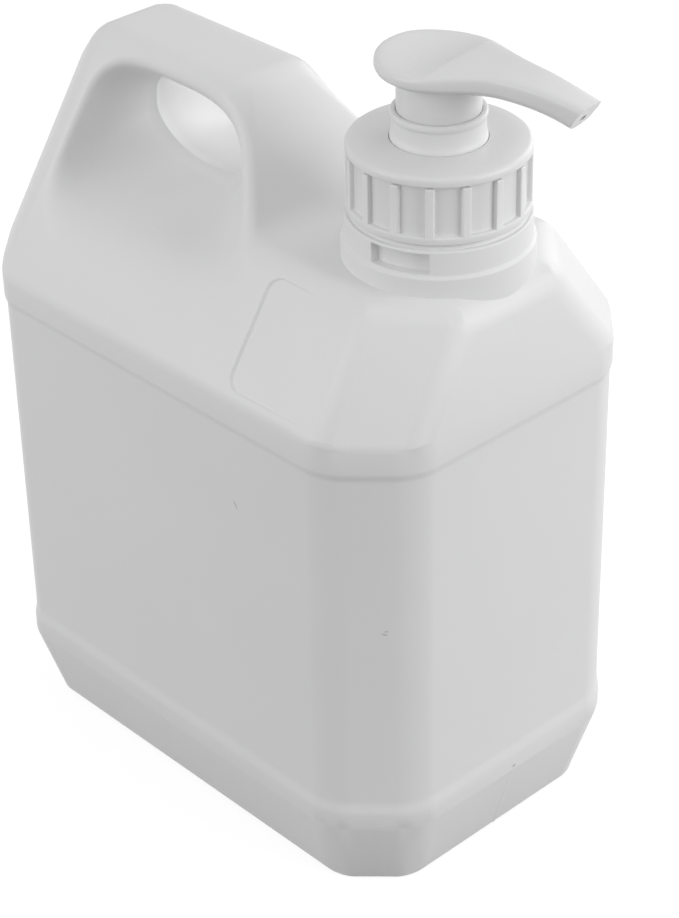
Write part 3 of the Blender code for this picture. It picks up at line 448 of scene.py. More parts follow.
def flare(reach, start, slope):
    return slope * (hypot(reach, start) - start)


def hole_point(turn, reach, inset):
    left = HOLE_LEFT - LEFT_DRAFT * reach - inset
    front = HOLE_RIGHT + flare(reach, FRONT_START, FRONT_FLARE) + inset
    roof = HOLE_ROOF + flare(reach, ROOF_START, ROOF_FLARE) + inset
    floor = HOLE_FLOOR - flare(reach, FLOOR_START, FLOOR_FLARE) - inset
    across, rise = cos(turn), sin(turn)
    lower_left = SOFT_CORNER + (TIGHT_CORNER - SOFT_CORNER) * eased(reach / CORNER_REACH)
    power = 2 / (lower_left if across < 0 and rise < 0 else SQUARENESS)
    dx, dz = signed_power(across, power), signed_power(rise, power)
    return Vector(((left + front) / 2 + (front - left) / 2 * dx, reach,
                   (roof + floor) / 2 + (roof - floor) / 2 * dz))


def outside_by(tree, point):
    hit, normal, _, reach = tree.find_nearest(point)
    return copysign(reach, (point - hit).dot(normal)), normal


def exit_reach(tree, turn, inset):
    low, high = FIRST_REACH, FIRST_REACH
    while outside_by(tree, hole_point(turn, high, inset))[0] < 0:
        low, high = high, high + REACH_STEP
    for _ in range(HALVINGS):
        middle = (low + high) / 2
        inside = outside_by(tree, hole_point(turn, middle, inset))[0] < 0
        low, high = (middle, high) if inside else (low, middle)
    return high


def hole_lines(tree, inset, sides, wall_shares, curve_steps):
    turns = [tau * (i + 0.5) / sides for i in range(sides)]
    reaches = [exit_reach(tree, turn, inset) for turn in turns]
    rim = [hole_point(turn, reach, inset) for turn, reach in zip(turns, reaches)]
    middle = sum(rim, Vector()) / sides
    lines = []
    for i, (turn, reach) in enumerate(zip(turns, reaches)):
        lowness, leftness = max(0.0, -sin(turn)), max(0.0, -cos(turn))
        setback = RIM_SETBACK + (FLOOR_SETBACK - RIM_SETBACK) * lowness ** 2
        setback += (LEFT_SETBACK - RIM_SETBACK) * leftness ** 2 - 0.9 * min(inset, LEFT_SETBACK / 2)
        along = (rim[i] - hole_point(turn, reach - 2 * MM, inset)).normalized()
        start = reach - setback * abs(along.y)
        rim_way = rim[(i + 1) % sides] - rim[i - 1]
        away = outside_by(tree, rim[i])[1].cross(rim_way).normalized()
        landing, normal, _, _ = tree.find_nearest(rim[i] + away * setback)
        landing = landing + normal * LANDING_LIFT
        window = hole_point(turn, 0.0, inset)
        inwards = (Vector((middle.x, 0, middle.z)) - window).normalized()
        line = [window + inwards * (WELD_HEIGHT if inset == 0 else 0.0), hole_point(turn, WELD_WIDTH, inset)]
        line += [hole_point(turn, start * share, inset) for share in wall_shares]
        wall_end = hole_point(turn, start, inset)
        for k in range(curve_steps + 1):
            t = k / curve_steps
            line.append(wall_end * (1 - t) ** 2 + rim[i] * (2 * t * (1 - t)) + landing * t ** 2)
        lifted = landing + normal * PLUG_LIFT
        lines.append(line + [lifted, Vector((lifted.x, 2 * HALF_WIDTH, lifted.z))])
    return lines


def hole_plug(body, inset, sides, wall_shares, curve_steps):
    lines = hole_lines(BVHTree.FromBMesh(body), inset, sides, wall_shares, curve_steps)
    half = [list(ring) for ring in zip(*lines)]
    rows = [[Vector((p.x, -p.y, p.z)) for p in ring] for ring in reversed(half[1:])] + half
    bm = bmesh.new()
    rings = [[bm.verts.new(p) for p in ring] for ring in rows]
    loops = [[bm.edges.new((ring[i], ring[(i + 1) % sides])) for i in range(sides)] for ring in rings]
    bridged(bm, loops, (0, -1))
    return outward(bm)


# %% [markdown]
# ## The pressed pads
# On each slope beside the neck a shallow pad is pressed in. It is deepest at its left edge, where it shows
# as a dark line, and runs out to nothing towards the front corner. Its cutter is a thin slanted slab with
# drafted sides, drawn in the slope's own directions: along the jug, up the slope and out of it.

# %% Cutter for a pad
PAD_LEFT, PAD_RIGHT, PAD_LOW, PAD_HIGH = 27.0 * MM, 56.0 * MM, 3.0 * MM, 33.0 * MM
PAD_CORNER, PAD_DEPTH, PAD_DRAFT, PAD_BRIM = 4.0 * MM, 0.6 * MM, 1.2, 1.0 * MM


def on_slope(side, x, rise, out):
    way_up = Vector((0, -side * cos(SLOPE), sin(SLOPE)))
    way_out = Vector((0, side * sin(SLOPE), cos(SLOPE)))
    return Vector((x, side * HALF_WIDTH, SHOULDER)) + way_up * rise + way_out * out


def pad_cutter(side, inset, steps):
    end, middle_x = PAD_RIGHT + 2 * MM, PAD_LEFT + PAD_CORNER
    outline = [(end, PAD_LOW), (end, PAD_HIGH)]
    outline += arc((middle_x, PAD_HIGH - PAD_CORNER), PAD_CORNER, pi / 2, pi, steps)
    outline += arc((middle_x, PAD_LOW + PAD_CORNER), PAD_CORNER, pi, pi * 1.5, steps)
    floor, brim = [], []
    for x, rise in outline:
        sideways = min(0.0, x - middle_x)
        upwards = rise - min(max(rise, PAD_LOW + PAD_CORNER), PAD_HIGH - PAD_CORNER)
        out = -PAD_DEPTH * (PAD_RIGHT - x) / (PAD_RIGHT - PAD_LEFT)
        growth = PAD_DRAFT * (PAD_BRIM - out) / PAD_CORNER
        floor.append(on_slope(side, x, rise, out - inset))
        brim.append(on_slope(side, x + sideways * growth, rise + upwards * growth, PAD_BRIM - inset))
    bm = bmesh.new()
    lower = bm.faces.new([bm.verts.new(p) for p in floor])
    upper = bm.faces.new([bm.verts.new(p) for p in brim])
    bmesh.ops.bridge_loops(bm, edges=list(lower.edges) + list(upper.edges))
    return outward(bm)


# %% [markdown]
# ## Outer form and inner form
# The same steps give the jug's outside and, set in by the wall, the space inside. The outside gets fine
# curves. The inside is seen only through the neck when the pump is lifted out, so it gets fewer.

# %% The blown form, outside or inside
def blown_form(inset, fine):
    bm = rounded(stepped_form(inset), inset, 9 if fine else 3)
    press_panels(bm, 6 if fine else 1)
    press_base(bm)
    if fine:
        raise_parting_line(bm)
    shares = (0.12, 0.26, 0.4, 0.54, 0.68, 0.84) if fine else (0.3, 0.6)
    bm = combined(bm, hole_plug(bm, inset, 76 if fine else 28, shares, 8 if fine else 4), "DIFFERENCE")
    for side in (-1, 1):
        bm = combined(bm, pad_cutter(side, inset, 12 if fine else 4), "DIFFERENCE")
    return bm


outside = blown_form(0.0, True)
inside = blown_form(WALL, False)
report("the outer form", outside)
report("the inner form", inside)

# %% [markdown]
# ## Turned pieces
# Neck, collar and pump are round, so they are drawn as half a section and spun about the pump's axis. Each
# row of an outline is a radius, a height and the rounding of that corner, in millimetres. A flat face is
# made of the outline, its corners are beveled as vertices, and then only its rim is spun. That is quicker
# than drawing every arc.

# %% Spinning an outline with rounded corners
def softened(bm, geometry, offset, steps, affect="EDGES"):
    bmesh.ops.bevel(bm, geom=geometry, offset=offset * MM, segments=steps, profile=0.5, affect=affect,
                    clamp_overlap=affect == "EDGES", material=-1)


def spun(bm, geometry, angle, steps, climb=0.0, merge=False):
    bmesh.ops.spin(bm, geom=geometry, cent=(0, 0, 0), axis=(0, 0, 1), dvec=(0, 0, climb), angle=angle,
                   steps=steps, use_merge=merge)


def turned(outline, steps=96, corner_steps=3):
    bm = bmesh.new()
    corners = [(bm.verts.new((radius * MM, 0, height * MM)), soft) for radius, height, soft in outline]
    bm.faces.new([vert for vert, _ in corners])
    for rounding in sorted({amount for _, amount in corners if amount}):
        chosen = [vert for vert, amount in corners if amount == rounding and vert.is_valid]
        softened(bm, chosen, rounding, corner_steps, "VERTICES")
    bmesh.ops.delete(bm, geom=bm.faces[:], context="FACES_ONLY")
    on_axis = [edge for edge in bm.edges if max(vert.co.x for vert in edge.verts) < 0.001 * MM]
    bmesh.ops.delete(bm, geom=on_axis, context="EDGES")
    spun(bm, bm.verts[:] + bm.edges[:], tau, steps, merge=True)
    bmesh.ops.remove_doubles(bm, verts=bm.verts, dist=0.005 * MM)
    return outward(bm)


def moved(bm, x):
    bmesh.ops.translate(bm, verts=bm.verts, vec=(x, 0, 0))
    return bm


# %% [markdown]
# ## The neck and its screw thread
# The neck has a wide band with two pockets, where a capping machine grips it, on a slightly wider foot. A
# bead closes the gap below the collar, and over it comes the screw finish. The thread is a small trapezium
# that is spun while it climbs: spin takes a step upwards for each step round. Both ends sink back to the
# wall that they stand on, as they do in the mould.

# %% Neck, thread and pockets
NECK_X = 50.3 * MM
NECK_TOP, BAND_TOP = 198.5, 184.0
BAND_RADIUS, NECK_RADIUS, BORE_RADIUS = 23.5, 18.6, 16.3
THREAD_PITCH, THREAD_FADE, LEAST_THREAD = 3.4, 0.16, 0.06


def thread(root, crest, low, turns, half_height):
    around = 60
    steps = round(turns * around)
    bm = bmesh.new()
    tip = half_height * 0.35
    section = [(root, -half_height), (crest, -tip), (crest, tip), (root, half_height)]
    face = bm.faces.new([bm.verts.new((radius * MM, 0, (low + z) * MM)) for radius, z in section])
    spun(bm, [face], tau * turns, steps, climb=THREAD_PITCH * MM / around)
    for vert in bm.verts:
        turn = atan2(vert.co.y, vert.co.x) % tau / tau
        climb = (vert.co.z / MM - low) / THREAD_PITCH
        done = turn + round(climb - turn)
        radius = hypot(vert.co.x, vert.co.y)
        share = LEAST_THREAD + (1 - LEAST_THREAD) * eased(min(done, turns - done) / THREAD_FADE)
        wanted = root * MM + (radius - root * MM) * share
        vert.co.x *= wanted / radius
        vert.co.y *= wanted / radius
    return outward(bm)


def curved_block(inner, outer, low, high, middle, span, soften):
    bm = bmesh.new()
    start = middle - span / 2
    corners = [(inner, low), (outer, low), (outer, high), (inner, high)]
    places = [(r * MM * cos(start), r * MM * sin(start), z * MM) for r, z in corners]
    spun(bm, [bm.faces.new([bm.verts.new(place) for place in places])], span, 16)
    outward(bm)
    sharp = [edge for edge in bm.edges if edge.calc_face_angle(0) > 1.0]
    softened(bm, sharp, soften, 3)
    return bm


deck = PLATFORM / MM
neck = turned([(10, deck - 6, 0), (24.3, deck - 6, 0), (24.3, deck + 4.9, 0.35),
               (BAND_RADIUS, deck + 5.5, 0.3), (23.4, BAND_TOP, 0.5), (22.3, BAND_TOP, 0.2),
               (22.1, BAND_TOP + 1.1, 0.35), (19.2, BAND_TOP + 1.1, 0.3), (NECK_RADIUS, BAND_TOP + 1.9, 0.3),
               (NECK_RADIUS, NECK_TOP, 0.5), (10, NECK_TOP, 0)], 120)
neck = combined(neck, thread(NECK_RADIUS - 0.25, 19.45, 187.4, 2.0, 1.0), "UNION")
for middle in (radians(-70), radians(110)):
    pocket = curved_block(BAND_RADIUS - 2.3, BAND_RADIUS + 3, deck + 5.9, deck + 11.3, middle,
                          radians(38.8), 0.25)
    neck = combined(neck, pocket, "DIFFERENCE")
bore = turned([(0, deck - 8, 0), (19.4, deck - 8, 0), (19.4, BAND_TOP - 2.5, 1.5),
               (BORE_RADIUS, BAND_TOP + 1, 0.8), (BORE_RADIUS, NECK_TOP + 4, 0), (0, NECK_TOP + 4, 0)], 72)
report("the neck", neck)
report("the bore", bore)

# %% [markdown]
# ## One hollow moulding
# Neck and body are joined, and the space inside is joined to the neck's bore before it is taken away. The
# result is one closed skin, as a blown jug is, and takes the place of the plain solid.

# %% Joining the jug
def dress(name, bm, node, crease=35):
    bodies = frame["record"]["behaviour"]["bodies"]
    body = next(key for key, members in bodies.items() if node in members)
    piece = as_object(name, bm)
    piece.data.shade_smooth()
    piece.data.set_sharp_from_angle(angle=radians(crease))
    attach(piece, body)
    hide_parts(node)
    print(name, "has", sum(len(face.vertices) - 2 for face in piece.data.polygons), "triangles")
    return piece


outside = combined(outside, moved(neck, NECK_X), "UNION")
inside = combined(inside, moved(bore, NECK_X), "UNION")
shell = moved(combined(outside, inside, "DIFFERENCE"), JUG_X)
report("the jug's shell", shell)
jug = dress("blown_jug", shell, "jug")

# %% [markdown]
# ## The screw collar
# The collar is a cap with a hole. Its skirt is set back between a band at the bottom and a rim at the top,
# and sixteen upright bars stand on it for wet fingers. The bars are soft-edged blocks set round the axis,
# and they join the cap in one boolean because they don't touch each other. Inside runs the collar's thread,
# which just clears the neck's, so that the collar can also turn here.

# %% Collar
RIM, SKIRT = 23.0, 21.7
COLLAR_LOW, COLLAR_CEILING, COLLAR_TOP = 185.3, 202.2, 203.6
BARS, FIRST_BAR = 16, radians(-50.8)
BAR_WIDTH, BAR_DEPTH, BAR_TOP, BAR_SOFTENING = 2.2, 2.0, 200.4, 0.4

collar = turned([(20.3, COLLAR_LOW, 0.2), (RIM, COLLAR_LOW, 0.4), (RIM, COLLAR_LOW + 2.0, 0.35),
                 (SKIRT, COLLAR_LOW + 2.1, 0.25), (SKIRT, BAR_TOP + 0.1, 0.25), (RIM, BAR_TOP + 0.3, 0.2),
                 (RIM, 203.0, 1.1), (19.0, 203.45, 0.8), (12.2, COLLAR_TOP, 0.12),
                 (12.2, COLLAR_CEILING, 0.1), (20.3, COLLAR_CEILING, 0.5)], 160, 4)
bars = bmesh.new()
for i in range(BARS):
    bar = bmesh.ops.create_cube(bars, size=MM)["verts"]
    middle = Vector((RIM - 0.05 - BAR_DEPTH / 2, 0, (BAR_TOP + COLLAR_LOW + 1.0) / 2))
    bmesh.ops.scale(bars, verts=bar, vec=(BAR_DEPTH, BAR_WIDTH, BAR_TOP - COLLAR_LOW - 1.4))
    bmesh.ops.translate(bars, verts=bar, vec=middle * MM)
    bmesh.ops.rotate(bars, verts=bar, cent=(0, 0, 0),
                     matrix=Matrix.Rotation(FIRST_BAR + tau * i / BARS, 3, "Z"))
softened(bars, bars.edges[:], BAR_SOFTENING, 4)
collar = combined(collar, bars, "UNION")
collar = combined(collar, thread(20.6, 19.8, 188.6, 1.6, 0.9), "UNION")
report("the collar", collar)
collar = dress("ribbed_collar", moved(collar, PUMP_X), "screw_collar")

# %% [markdown]
# ## The guide ring
# The ring that guides the head is a cup in the cylinder's mouth. What shows above the collar is a lip, a
# slight waist and a flared foot, which is how a mould maker lets the core out and hides the joint. It is
# turned again because its rim is one of the brightest edges in the picture.

# %% Guide ring
RING_TOP, RING_BORE, CUP_RADIUS, RIM_RADIUS = 211.0, 10.5, 11.6, 11.9
ring_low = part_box("guide_ring")[0].z / MM
rod_low, rod_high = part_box("piston_rod")
ROD = (rod_high.y - rod_low.y) / 2 / MM
ring = turned([(ROD + 0.3, ring_low, 0.1), (CUP_RADIUS, ring_low, 0.3), (CUP_RADIUS, COLLAR_CEILING, 0),
               (12.05, COLLAR_CEILING, 0), (12.05, COLLAR_TOP + 0.5, 0.5),
               (CUP_RADIUS, COLLAR_TOP + 1.6, 1.0), (11.5, RING_TOP - 1.9, 0.4),
               (RIM_RADIUS, RING_TOP - 1.4, 0.3), (RIM_RADIUS, RING_TOP, 0.45), (RING_BORE, RING_TOP, 0.4),
               (RING_BORE, ring_low + 1.4, 0.5), (ROD + 0.3, ring_low + 1.4, 0.1)], 128)
report("the guide ring", ring)
ring = dress("lipped_guide_ring", moved(ring, PUMP_X), "guide_ring")

# %% [markdown]
# ## The pump head
# The head is a thumb plate that narrows into a bent nozzle. It is lofted through sections across the
# nozzle: each gives half a width, a top and an underside, and a smooth curve reads the values between them.
# The sections lie closer together at the plate's round back. The thumb sits in a dish, which ends in a low
# crest across the head. The dish only lowers the middle of a section, so the plate keeps its even rim.

# %% Sections of the head
HEAD_TURN = radians(6.0)
HEAD_Z = 220.0
SECTIONS = (
    (-15.55, 1.4, 4.4, 2.2), (-15.0, 4.3, 4.9, 1.5), (-13.7, 7.6, 5.3, 0.9), (-11.0, 11.1, 5.5, 0.4),
    (-6.0, 14.4, 5.6, 0.0), (0.0, 15.6, 5.85, -0.2), (5.3, 14.7, 6.25, -0.2), (10.0, 12.4, 6.6, 0.0),
    (16.0, 9.4, 6.8, 0.3), (22.0, 7.2, 7.0, 0.4), (30.0, 5.7, 6.7, -0.1), (38.0, 4.7, 5.6, -1.1),
    (44.8, 4.1, 4.3, -2.4),
)
DISH = ((-13.5, 0.0), (-9.0, 0.9), (-3.0, 1.7), (2.0, 1.75), (4.8, 1.15), (6.2, 0.35), (7.0, 0.0), (8.5, 0.0))
TIP_SETBACK, NOZZLE_START = 4.5, 30.0
PLATE_SQUARENESS, NOZZLE_TOP_SQUARER, NOZZLE_UNDER_ROUNDER = 3.2, 2.2, -0.9
STATIONS, CROWDING = 110, 1.35
HEAD_BACK_X, HEAD_BACK_Z = -15.65, 3.2
SECTION_SIDES = 56


def smooth_value(rows, column, where):
    last = len(rows) - 1
    i = max(k for k in range(last) if rows[k][0] <= where or k == 0)
    before, start, end, after = (rows[min(max(k, 0), last)] for k in (i - 1, i, i + 1, i + 2))
    span = end[0] - start[0]
    t = min(max((where - start[0]) / span, 0.0), 1.0)
    slope_in = (end[column] - before[column]) / (end[0] - before[0]) * span
    slope_out = (after[column] - start[column]) / (after[0] - start[0]) * span
    return ((2 * t ** 3 - 3 * t ** 2 + 1) * start[column] + (t ** 3 - 2 * t ** 2 + t) * slope_in
            + (-2 * t ** 3 + 3 * t ** 2) * end[column] + (t ** 3 - t ** 2) * slope_out)


def head_section(bm, along):
    half, top, under = (smooth_value(SECTIONS, column, along) for column in (1, 2, 3))
    dish = max(0.0, smooth_value(DISH, 1, along))
    verts = []
    for i in range(SECTION_SIDES):
        turn = tau * (i + 0.5) / SECTION_SIDES
        flatness = eased((along - 6) / 14)
        change = NOZZLE_TOP_SQUARER if sin(turn) > 0 else NOZZLE_UNDER_ROUNDER
        power = 2 / (PLATE_SQUARENESS + flatness * change)
        dy, dz = signed_power(cos(turn), power), signed_power(sin(turn), power)
        slant = max(0.0, (along - NOZZLE_START) / (SECTIONS[-1][0] - NOZZLE_START))
        setback = TIP_SETBACK * (1 - dz) / 2 * slant
        height = (top + under) / 2 + (top - under) / 2 * dz - dish * max(0.0, dz) * (1 - abs(dy) ** 3)
        verts.append(bm.verts.new(Vector((along - setback, half * dy, height)) * MM))
    return [bm.edges.new((verts[i], verts[(i + 1) % SECTION_SIDES])) for i in range(SECTION_SIDES)]


def head_plate():
    bm = bmesh.new()
    first, last = SECTIONS[0][0], SECTIONS[-1][0]
    stations = [first + (last - first) * (k / STATIONS) ** CROWDING for k in range(STATIONS + 1)]
    loops = [head_section(bm, along) for along in stations]
    _, closed_back = bridged(bm, loops, (-1, 0))
    fan = bmesh.ops.poke(bm, faces=closed_back)["verts"][0]
    fan.co = Vector((HEAD_BACK_X, 0, HEAD_BACK_Z)) * MM
    return outward(bm)


head = head_plate()
report("the plate with its nozzle", head)

# %% [markdown]
# ## Skirt, rod socket and outlet
# Under the plate a thin skirt slides in the guide ring and hides the rod, and a socket in its middle is
# pressed on the rod. The outlet is a fine passage from over the rod to the tip. It is bridged from circles
# that follow the middle of the nozzle and narrow towards its end, and is cut out last, so that it opens low
# in the slanted tip.

# %% Finishing the head
BORE = 1.4
SKIRT_LOW, PLATE_UNDER, ROD_TOP = 205.0, 221.4, 216.5


def outlet():
    bm = bmesh.new()
    loops = []
    last = SECTIONS[-1][0]
    for k in range(25):
        along = (last + 4) * k / 24
        top, under = (smooth_value(SECTIONS, column, min(along, last)) for column in (2, 3))
        height = (top + under) / 2 - 0.6 * max(0.0, 1 - along / 12) - 1.1 * eased((along - NOZZLE_START) / 14)
        radius = BORE - 0.5 * eased((along - NOZZLE_START) / 12)
        ring = bmesh.ops.create_circle(bm, cap_ends=False, radius=radius * MM, segments=20)["verts"]
        bmesh.ops.rotate(bm, verts=ring, cent=(0, 0, 0), matrix=Matrix.Rotation(pi / 2, 3, "Y"))
        bmesh.ops.translate(bm, verts=ring, vec=Vector((along, 0, height)) * MM)
        chosen = set(ring)
        loops.append([edge for edge in bm.edges if edge.verts[0] in chosen and edge.verts[1] in chosen])
    bridged(bm, loops, (0, -1))
    return outward(bm)


placing = Matrix.Translation((0, 0, HEAD_Z * MM)) @ Matrix.Rotation(HEAD_TURN, 4, "Z")
head.transform(placing)
for inner, outer, low, high, inner_soft, outer_soft, steps, operation in (
        (8.8, 10.44, SKIRT_LOW, PLATE_UNDER, 0.2, 0.3, 96, "UNION"),
        (0, 5.3, SKIRT_LOW + 3, PLATE_UNDER, 0, 0.3, 64, "UNION"),
        (0, 3.9, SKIRT_LOW, ROD_TOP + 0.3, 0, 0, 64, "DIFFERENCE"),
        (0, BORE, ROD_TOP, PLATE_UNDER, 0, 0, 32, "DIFFERENCE")):
    outline = [(inner, low, inner_soft), (outer, low, outer_soft), (outer, high, 0), (inner, high, 0)]
    head = combined(head, turned(outline, steps), operation)
passage = outlet()
passage.transform(placing)
head = combined(head, passage, "DIFFERENCE")
report("the head", head)
head = dress("pump_head_fine", moved(head, PUMP_X), "pump_head", 40)

# %% [markdown]
# ## Shared effects
# All the plastics share two effects, and each is a node group with named inputs. They put out plain
# numbers, and the shader stays in each material, where the export can read it. One helper gives a socket
# its value or its link, and the others add the few kinds of node that every finish here needs.

# %% Node helpers
FACTOR, COLOR_A, COLOR_B, COLOR_OUT = 0, 6, 7, 2


def group_of(name, inputs, outputs):
    tree = bpy.data.node_groups.new(name, "ShaderNodeTree")
    for label, kind, value in inputs:
        socket = tree.interface.new_socket(name=label, in_out="INPUT", socket_type="NodeSocket" + kind)
        socket.default_value = value
    for label in outputs:
        tree.interface.new_socket(name=label, in_out="OUTPUT", socket_type="NodeSocketFloat")
    return tree, tree.nodes.new("NodeGroupInput").outputs, tree.nodes.new("NodeGroupOutput").inputs


def feed(tree, socket, value):
    if isinstance(value, bpy.types.NodeSocket):
        tree.links.new(value, socket)
    else:
        socket.default_value = value


def filled(tree, node, values):
    for label, value in values.items():
        feed(tree, node.inputs[label], value)
    return node


def math_node(tree, operation, *values, kind="ShaderNodeMath", output=0):
    node = tree.nodes.new(kind)
    node.operation = operation
    for socket, value in zip(node.inputs, values):
        feed(tree, socket, value)
    return node.outputs[output]


def vector_node(tree, operation, *values, output="Value"):
    return math_node(tree, operation, *values, kind="ShaderNodeVectorMath", output=output)


def noise(tree, position, scale, detail, roughness=0.5):
    values = {"Vector": position, "Scale": scale, "Detail": detail, "Roughness": roughness}
    return filled(tree, tree.nodes.new("ShaderNodeTexNoise"), values).outputs[0]


def mixed(tree, share, first, second):
    node = tree.nodes.new("ShaderNodeMix")
    node.data_type = "RGBA"
    for place, value in ((FACTOR, share), (COLOR_A, first), (COLOR_B, second)):
        feed(tree, node.inputs[place], value)
    return node.outputs[COLOR_OUT]


def new_material(name):
    material = bpy.data.materials.new(name)
    material.use_nodes = True
    return material, material.node_tree, material.node_tree.nodes["Principled BSDF"]


def object_place(tree):
    return tree.nodes.new("ShaderNodeTexCoord").outputs["Object"]


def finish(tree, shader, color, roughness, height, distance):
    bump = filled(tree, tree.nodes.new("ShaderNodeBump"), {"Distance": distance, "Height": height})
    filled(tree, shader, {"Base Color": color, "Roughness": roughness, "Normal": bump.outputs["Normal"]})


def wear(node_or_piece, material):
    node_or_piece.data.materials.clear()
    node_or_piece.data.materials.append(material)


# %% [markdown]
# ## The moulded skin
# Thick plastic cools slower than thin, so a moulded face is never quite flat: it carries a slow, low wave.
# Over it lies the fine grain that the mould was blasted with. Both are noise in the piece's own space, so
# that they stay on it when it moves. The group puts out their height, a slow cloud for the colour, and the
# grain by itself for the roughness. A painted map would need every piece unwrapped.

# %% Moulded skin
skin, given, gives = group_of("moulded_skin", [
    ("Position", "Vector", (0, 0, 0)), ("Wave Scale", "Float", 30.0), ("Wave Height", "Float", 0.1),
    ("Grain Scale", "Float", 1500.0), ("Grain Height", "Float", 0.01)], ["Height", "Cloud", "Grain"])
CLOUD_SCALE = 22.0
wave = noise(skin, given["Position"], given["Wave Scale"], 1.5)
grain = noise(skin, given["Position"], given["Grain Scale"], 2.0, 0.6)
waved = math_node(skin, "MULTIPLY", wave, given["Wave Height"])
feed(skin, gives["Height"], math_node(skin, "MULTIPLY_ADD", grain, given["Grain Height"], waved))
feed(skin, gives["Cloud"], noise(skin, given["Position"], CLOUD_SCALE, 2.0))
feed(skin, gives["Grain"], grain)

# %% [markdown]
# ## A hairline scuff
# A jug that has been packed and shelved carries a few short dark hairlines. Each is a mask round a straight
# line: the distance along the line and across it are worked out from the point's offset, and the mask fades
# towards both ends as a scratch does when it lifts off. A picture of scratches would not put the marks
# where the photograph shows them.

# %% Hairline scuff
scuff, given, gives = group_of("hairline_scuff", [
    ("Position", "Vector", (0, 0, 0)), ("Place", "Vector", (0, 0, 0)), ("Direction", "Vector", (0, 0, 1)),
    ("Half Length", "Float", 0.001), ("Half Width", "Float", 0.0002)], ["Mask"])
offset = vector_node(scuff, "SUBTRACT", given["Position"], given["Place"], output="Vector")
along = vector_node(scuff, "DOT_PRODUCT", offset, given["Direction"])
reach = vector_node(scuff, "LENGTH", offset)
squared = math_node(scuff, "SUBTRACT", math_node(scuff, "MULTIPLY", reach, reach),
                    math_node(scuff, "MULTIPLY", along, along))
across = math_node(scuff, "SQRT", math_node(scuff, "MAXIMUM", squared, 0.0))
end_share = math_node(scuff, "DIVIDE", math_node(scuff, "ABSOLUTE", along), given["Half Length"])
side_share = math_node(scuff, "DIVIDE", across, given["Half Width"])
taper = math_node(scuff, "SUBTRACT", 1.0, math_node(scuff, "MULTIPLY", end_share, end_share))
core = math_node(scuff, "SUBTRACT", taper, side_share)
feed(scuff, gives["Mask"], math_node(scuff, "MINIMUM", math_node(scuff, "MAXIMUM", core, 0.0), 1.0))
print("node groups:", [tree.name for tree in bpy.data.node_groups])

# %% [markdown]
# ## Plastic finishes
# The jug's polyethylene is satin and a little waxy, so it is rougher than the pump's polypropylene. Light
# enters both and comes out nearby, which softens every edge: that is a small subsurface share with a reach
# of about a millimetre. Its value is the same all over, so it is set on the shader's own socket. The colour
# drifts by a hair with the cloud, and the scuffs are darker and slightly sunk.

# %% Plastic material
TONE_DRIFT, ROUGHNESS_DRIFT = 0.015, 0.10
SCUFF_COLOR, SCUFF_STRENGTH, SCUFF_DEPTH = (0.22, 0.22, 0.22, 1), 0.75, 0.05


def group_node(tree, group, values):
    node = tree.nodes.new("ShaderNodeGroup")
    node.node_tree = group
    return filled(tree, node, values)


def plastic(name, color, roughness, wave, grain, subsurface=0.1, scuffs=()):
    material, tree, shader = new_material(name)
    filled(tree, shader, {"IOR": 1.5, "Subsurface Weight": subsurface, "Subsurface Scale": 1.2 * MM,
                          "Subsurface Radius": (1.0, 0.95, 0.9)})
    place = object_place(tree)
    surface = group_node(tree, skin, {"Position": place, "Wave Scale": wave[0], "Wave Height": wave[1],
                                      "Grain Scale": grain[0], "Grain Height": grain[1]}).outputs
    darker = (*[value * (1 - TONE_DRIFT) for value in color], 1)
    lighter = (*[min(value * (1 + TONE_DRIFT), 1.0) for value in color], 1)
    tone, height = mixed(tree, surface["Cloud"], darker, lighter), surface["Height"]
    masks = [group_node(tree, scuff, {
        "Position": place, "Place": spot, "Direction": Vector(way).normalized(), "Half Length": half_length,
        "Half Width": half_width}).outputs["Mask"] for spot, way, half_length, half_width in scuffs]
    if masks:
        marks = masks[0]
        for mask in masks[1:]:
            marks = math_node(tree, "MAXIMUM", marks, mask)
        tone = mixed(tree, math_node(tree, "MULTIPLY", marks, SCUFF_STRENGTH), tone, SCUFF_COLOR)
        height = math_node(tree, "SUBTRACT", height, math_node(tree, "MULTIPLY", marks, SCUFF_DEPTH))
    base = roughness - ROUGHNESS_DRIFT / 2
    rough = math_node(tree, "MULTIPLY_ADD", surface["Grain"], ROUGHNESS_DRIFT, base)
    finish(tree, shader, tone, rough, height, MM)
    return material


WHITE = (0.79, 0.79, 0.795)
jug_scuffs = [
    ((JUG_X + 29.3 * MM, -51.85 * MM, 110.7 * MM), (0.5, 0, -0.8), 1.9 * MM, 0.3 * MM),
    ((JUG_X + 79.0 * MM, 0.7 * MM, 24.2 * MM), (0, 1.0, 0.15), 0.9 * MM, 0.5 * MM),
    ((JUG_X + 72.2 * MM, -41.1 * MM, 86.6 * MM), (0.7, 0.7, -0.35), 1.2 * MM, 0.28 * MM),
    ((JUG_X + 72.5 * MM, -40.8 * MM, 87.5 * MM), (0.7, 0.7, 0.1), 0.9 * MM, 0.22 * MM),
]
wear(jug, plastic("satin_polyethylene", WHITE, 0.42, (26.0, 0.35), (900.0, 0.010), 0.15, jug_scuffs))
wear(collar, plastic("collar_polypropylene", WHITE, 0.36, (60.0, 0.05), (1800.0, 0.004)))
wear(head, plastic("head_polypropylene", WHITE, 0.30, (60.0, 0.08), (1800.0, 0.003)))
wear(ring, plastic("guide_ring_polypropylene", WHITE, 0.36, (60.0, 0.04), (1800.0, 0.003)))
for name, color, roughness in (("pump_cylinder", (0.74, 0.75, 0.76), 0.32), ("piston_rod", WHITE, 0.28),
                               ("piston", (0.70, 0.73, 0.75), 0.38), ("piston_seat", WHITE, 0.32),
                               ("dip_tube", (0.70, 0.73, 0.74), 0.30)):
    wear(nodes[name], plastic(name + "_plastic", color, roughness, (60.0, 0.04), (1800.0, 0.003)))

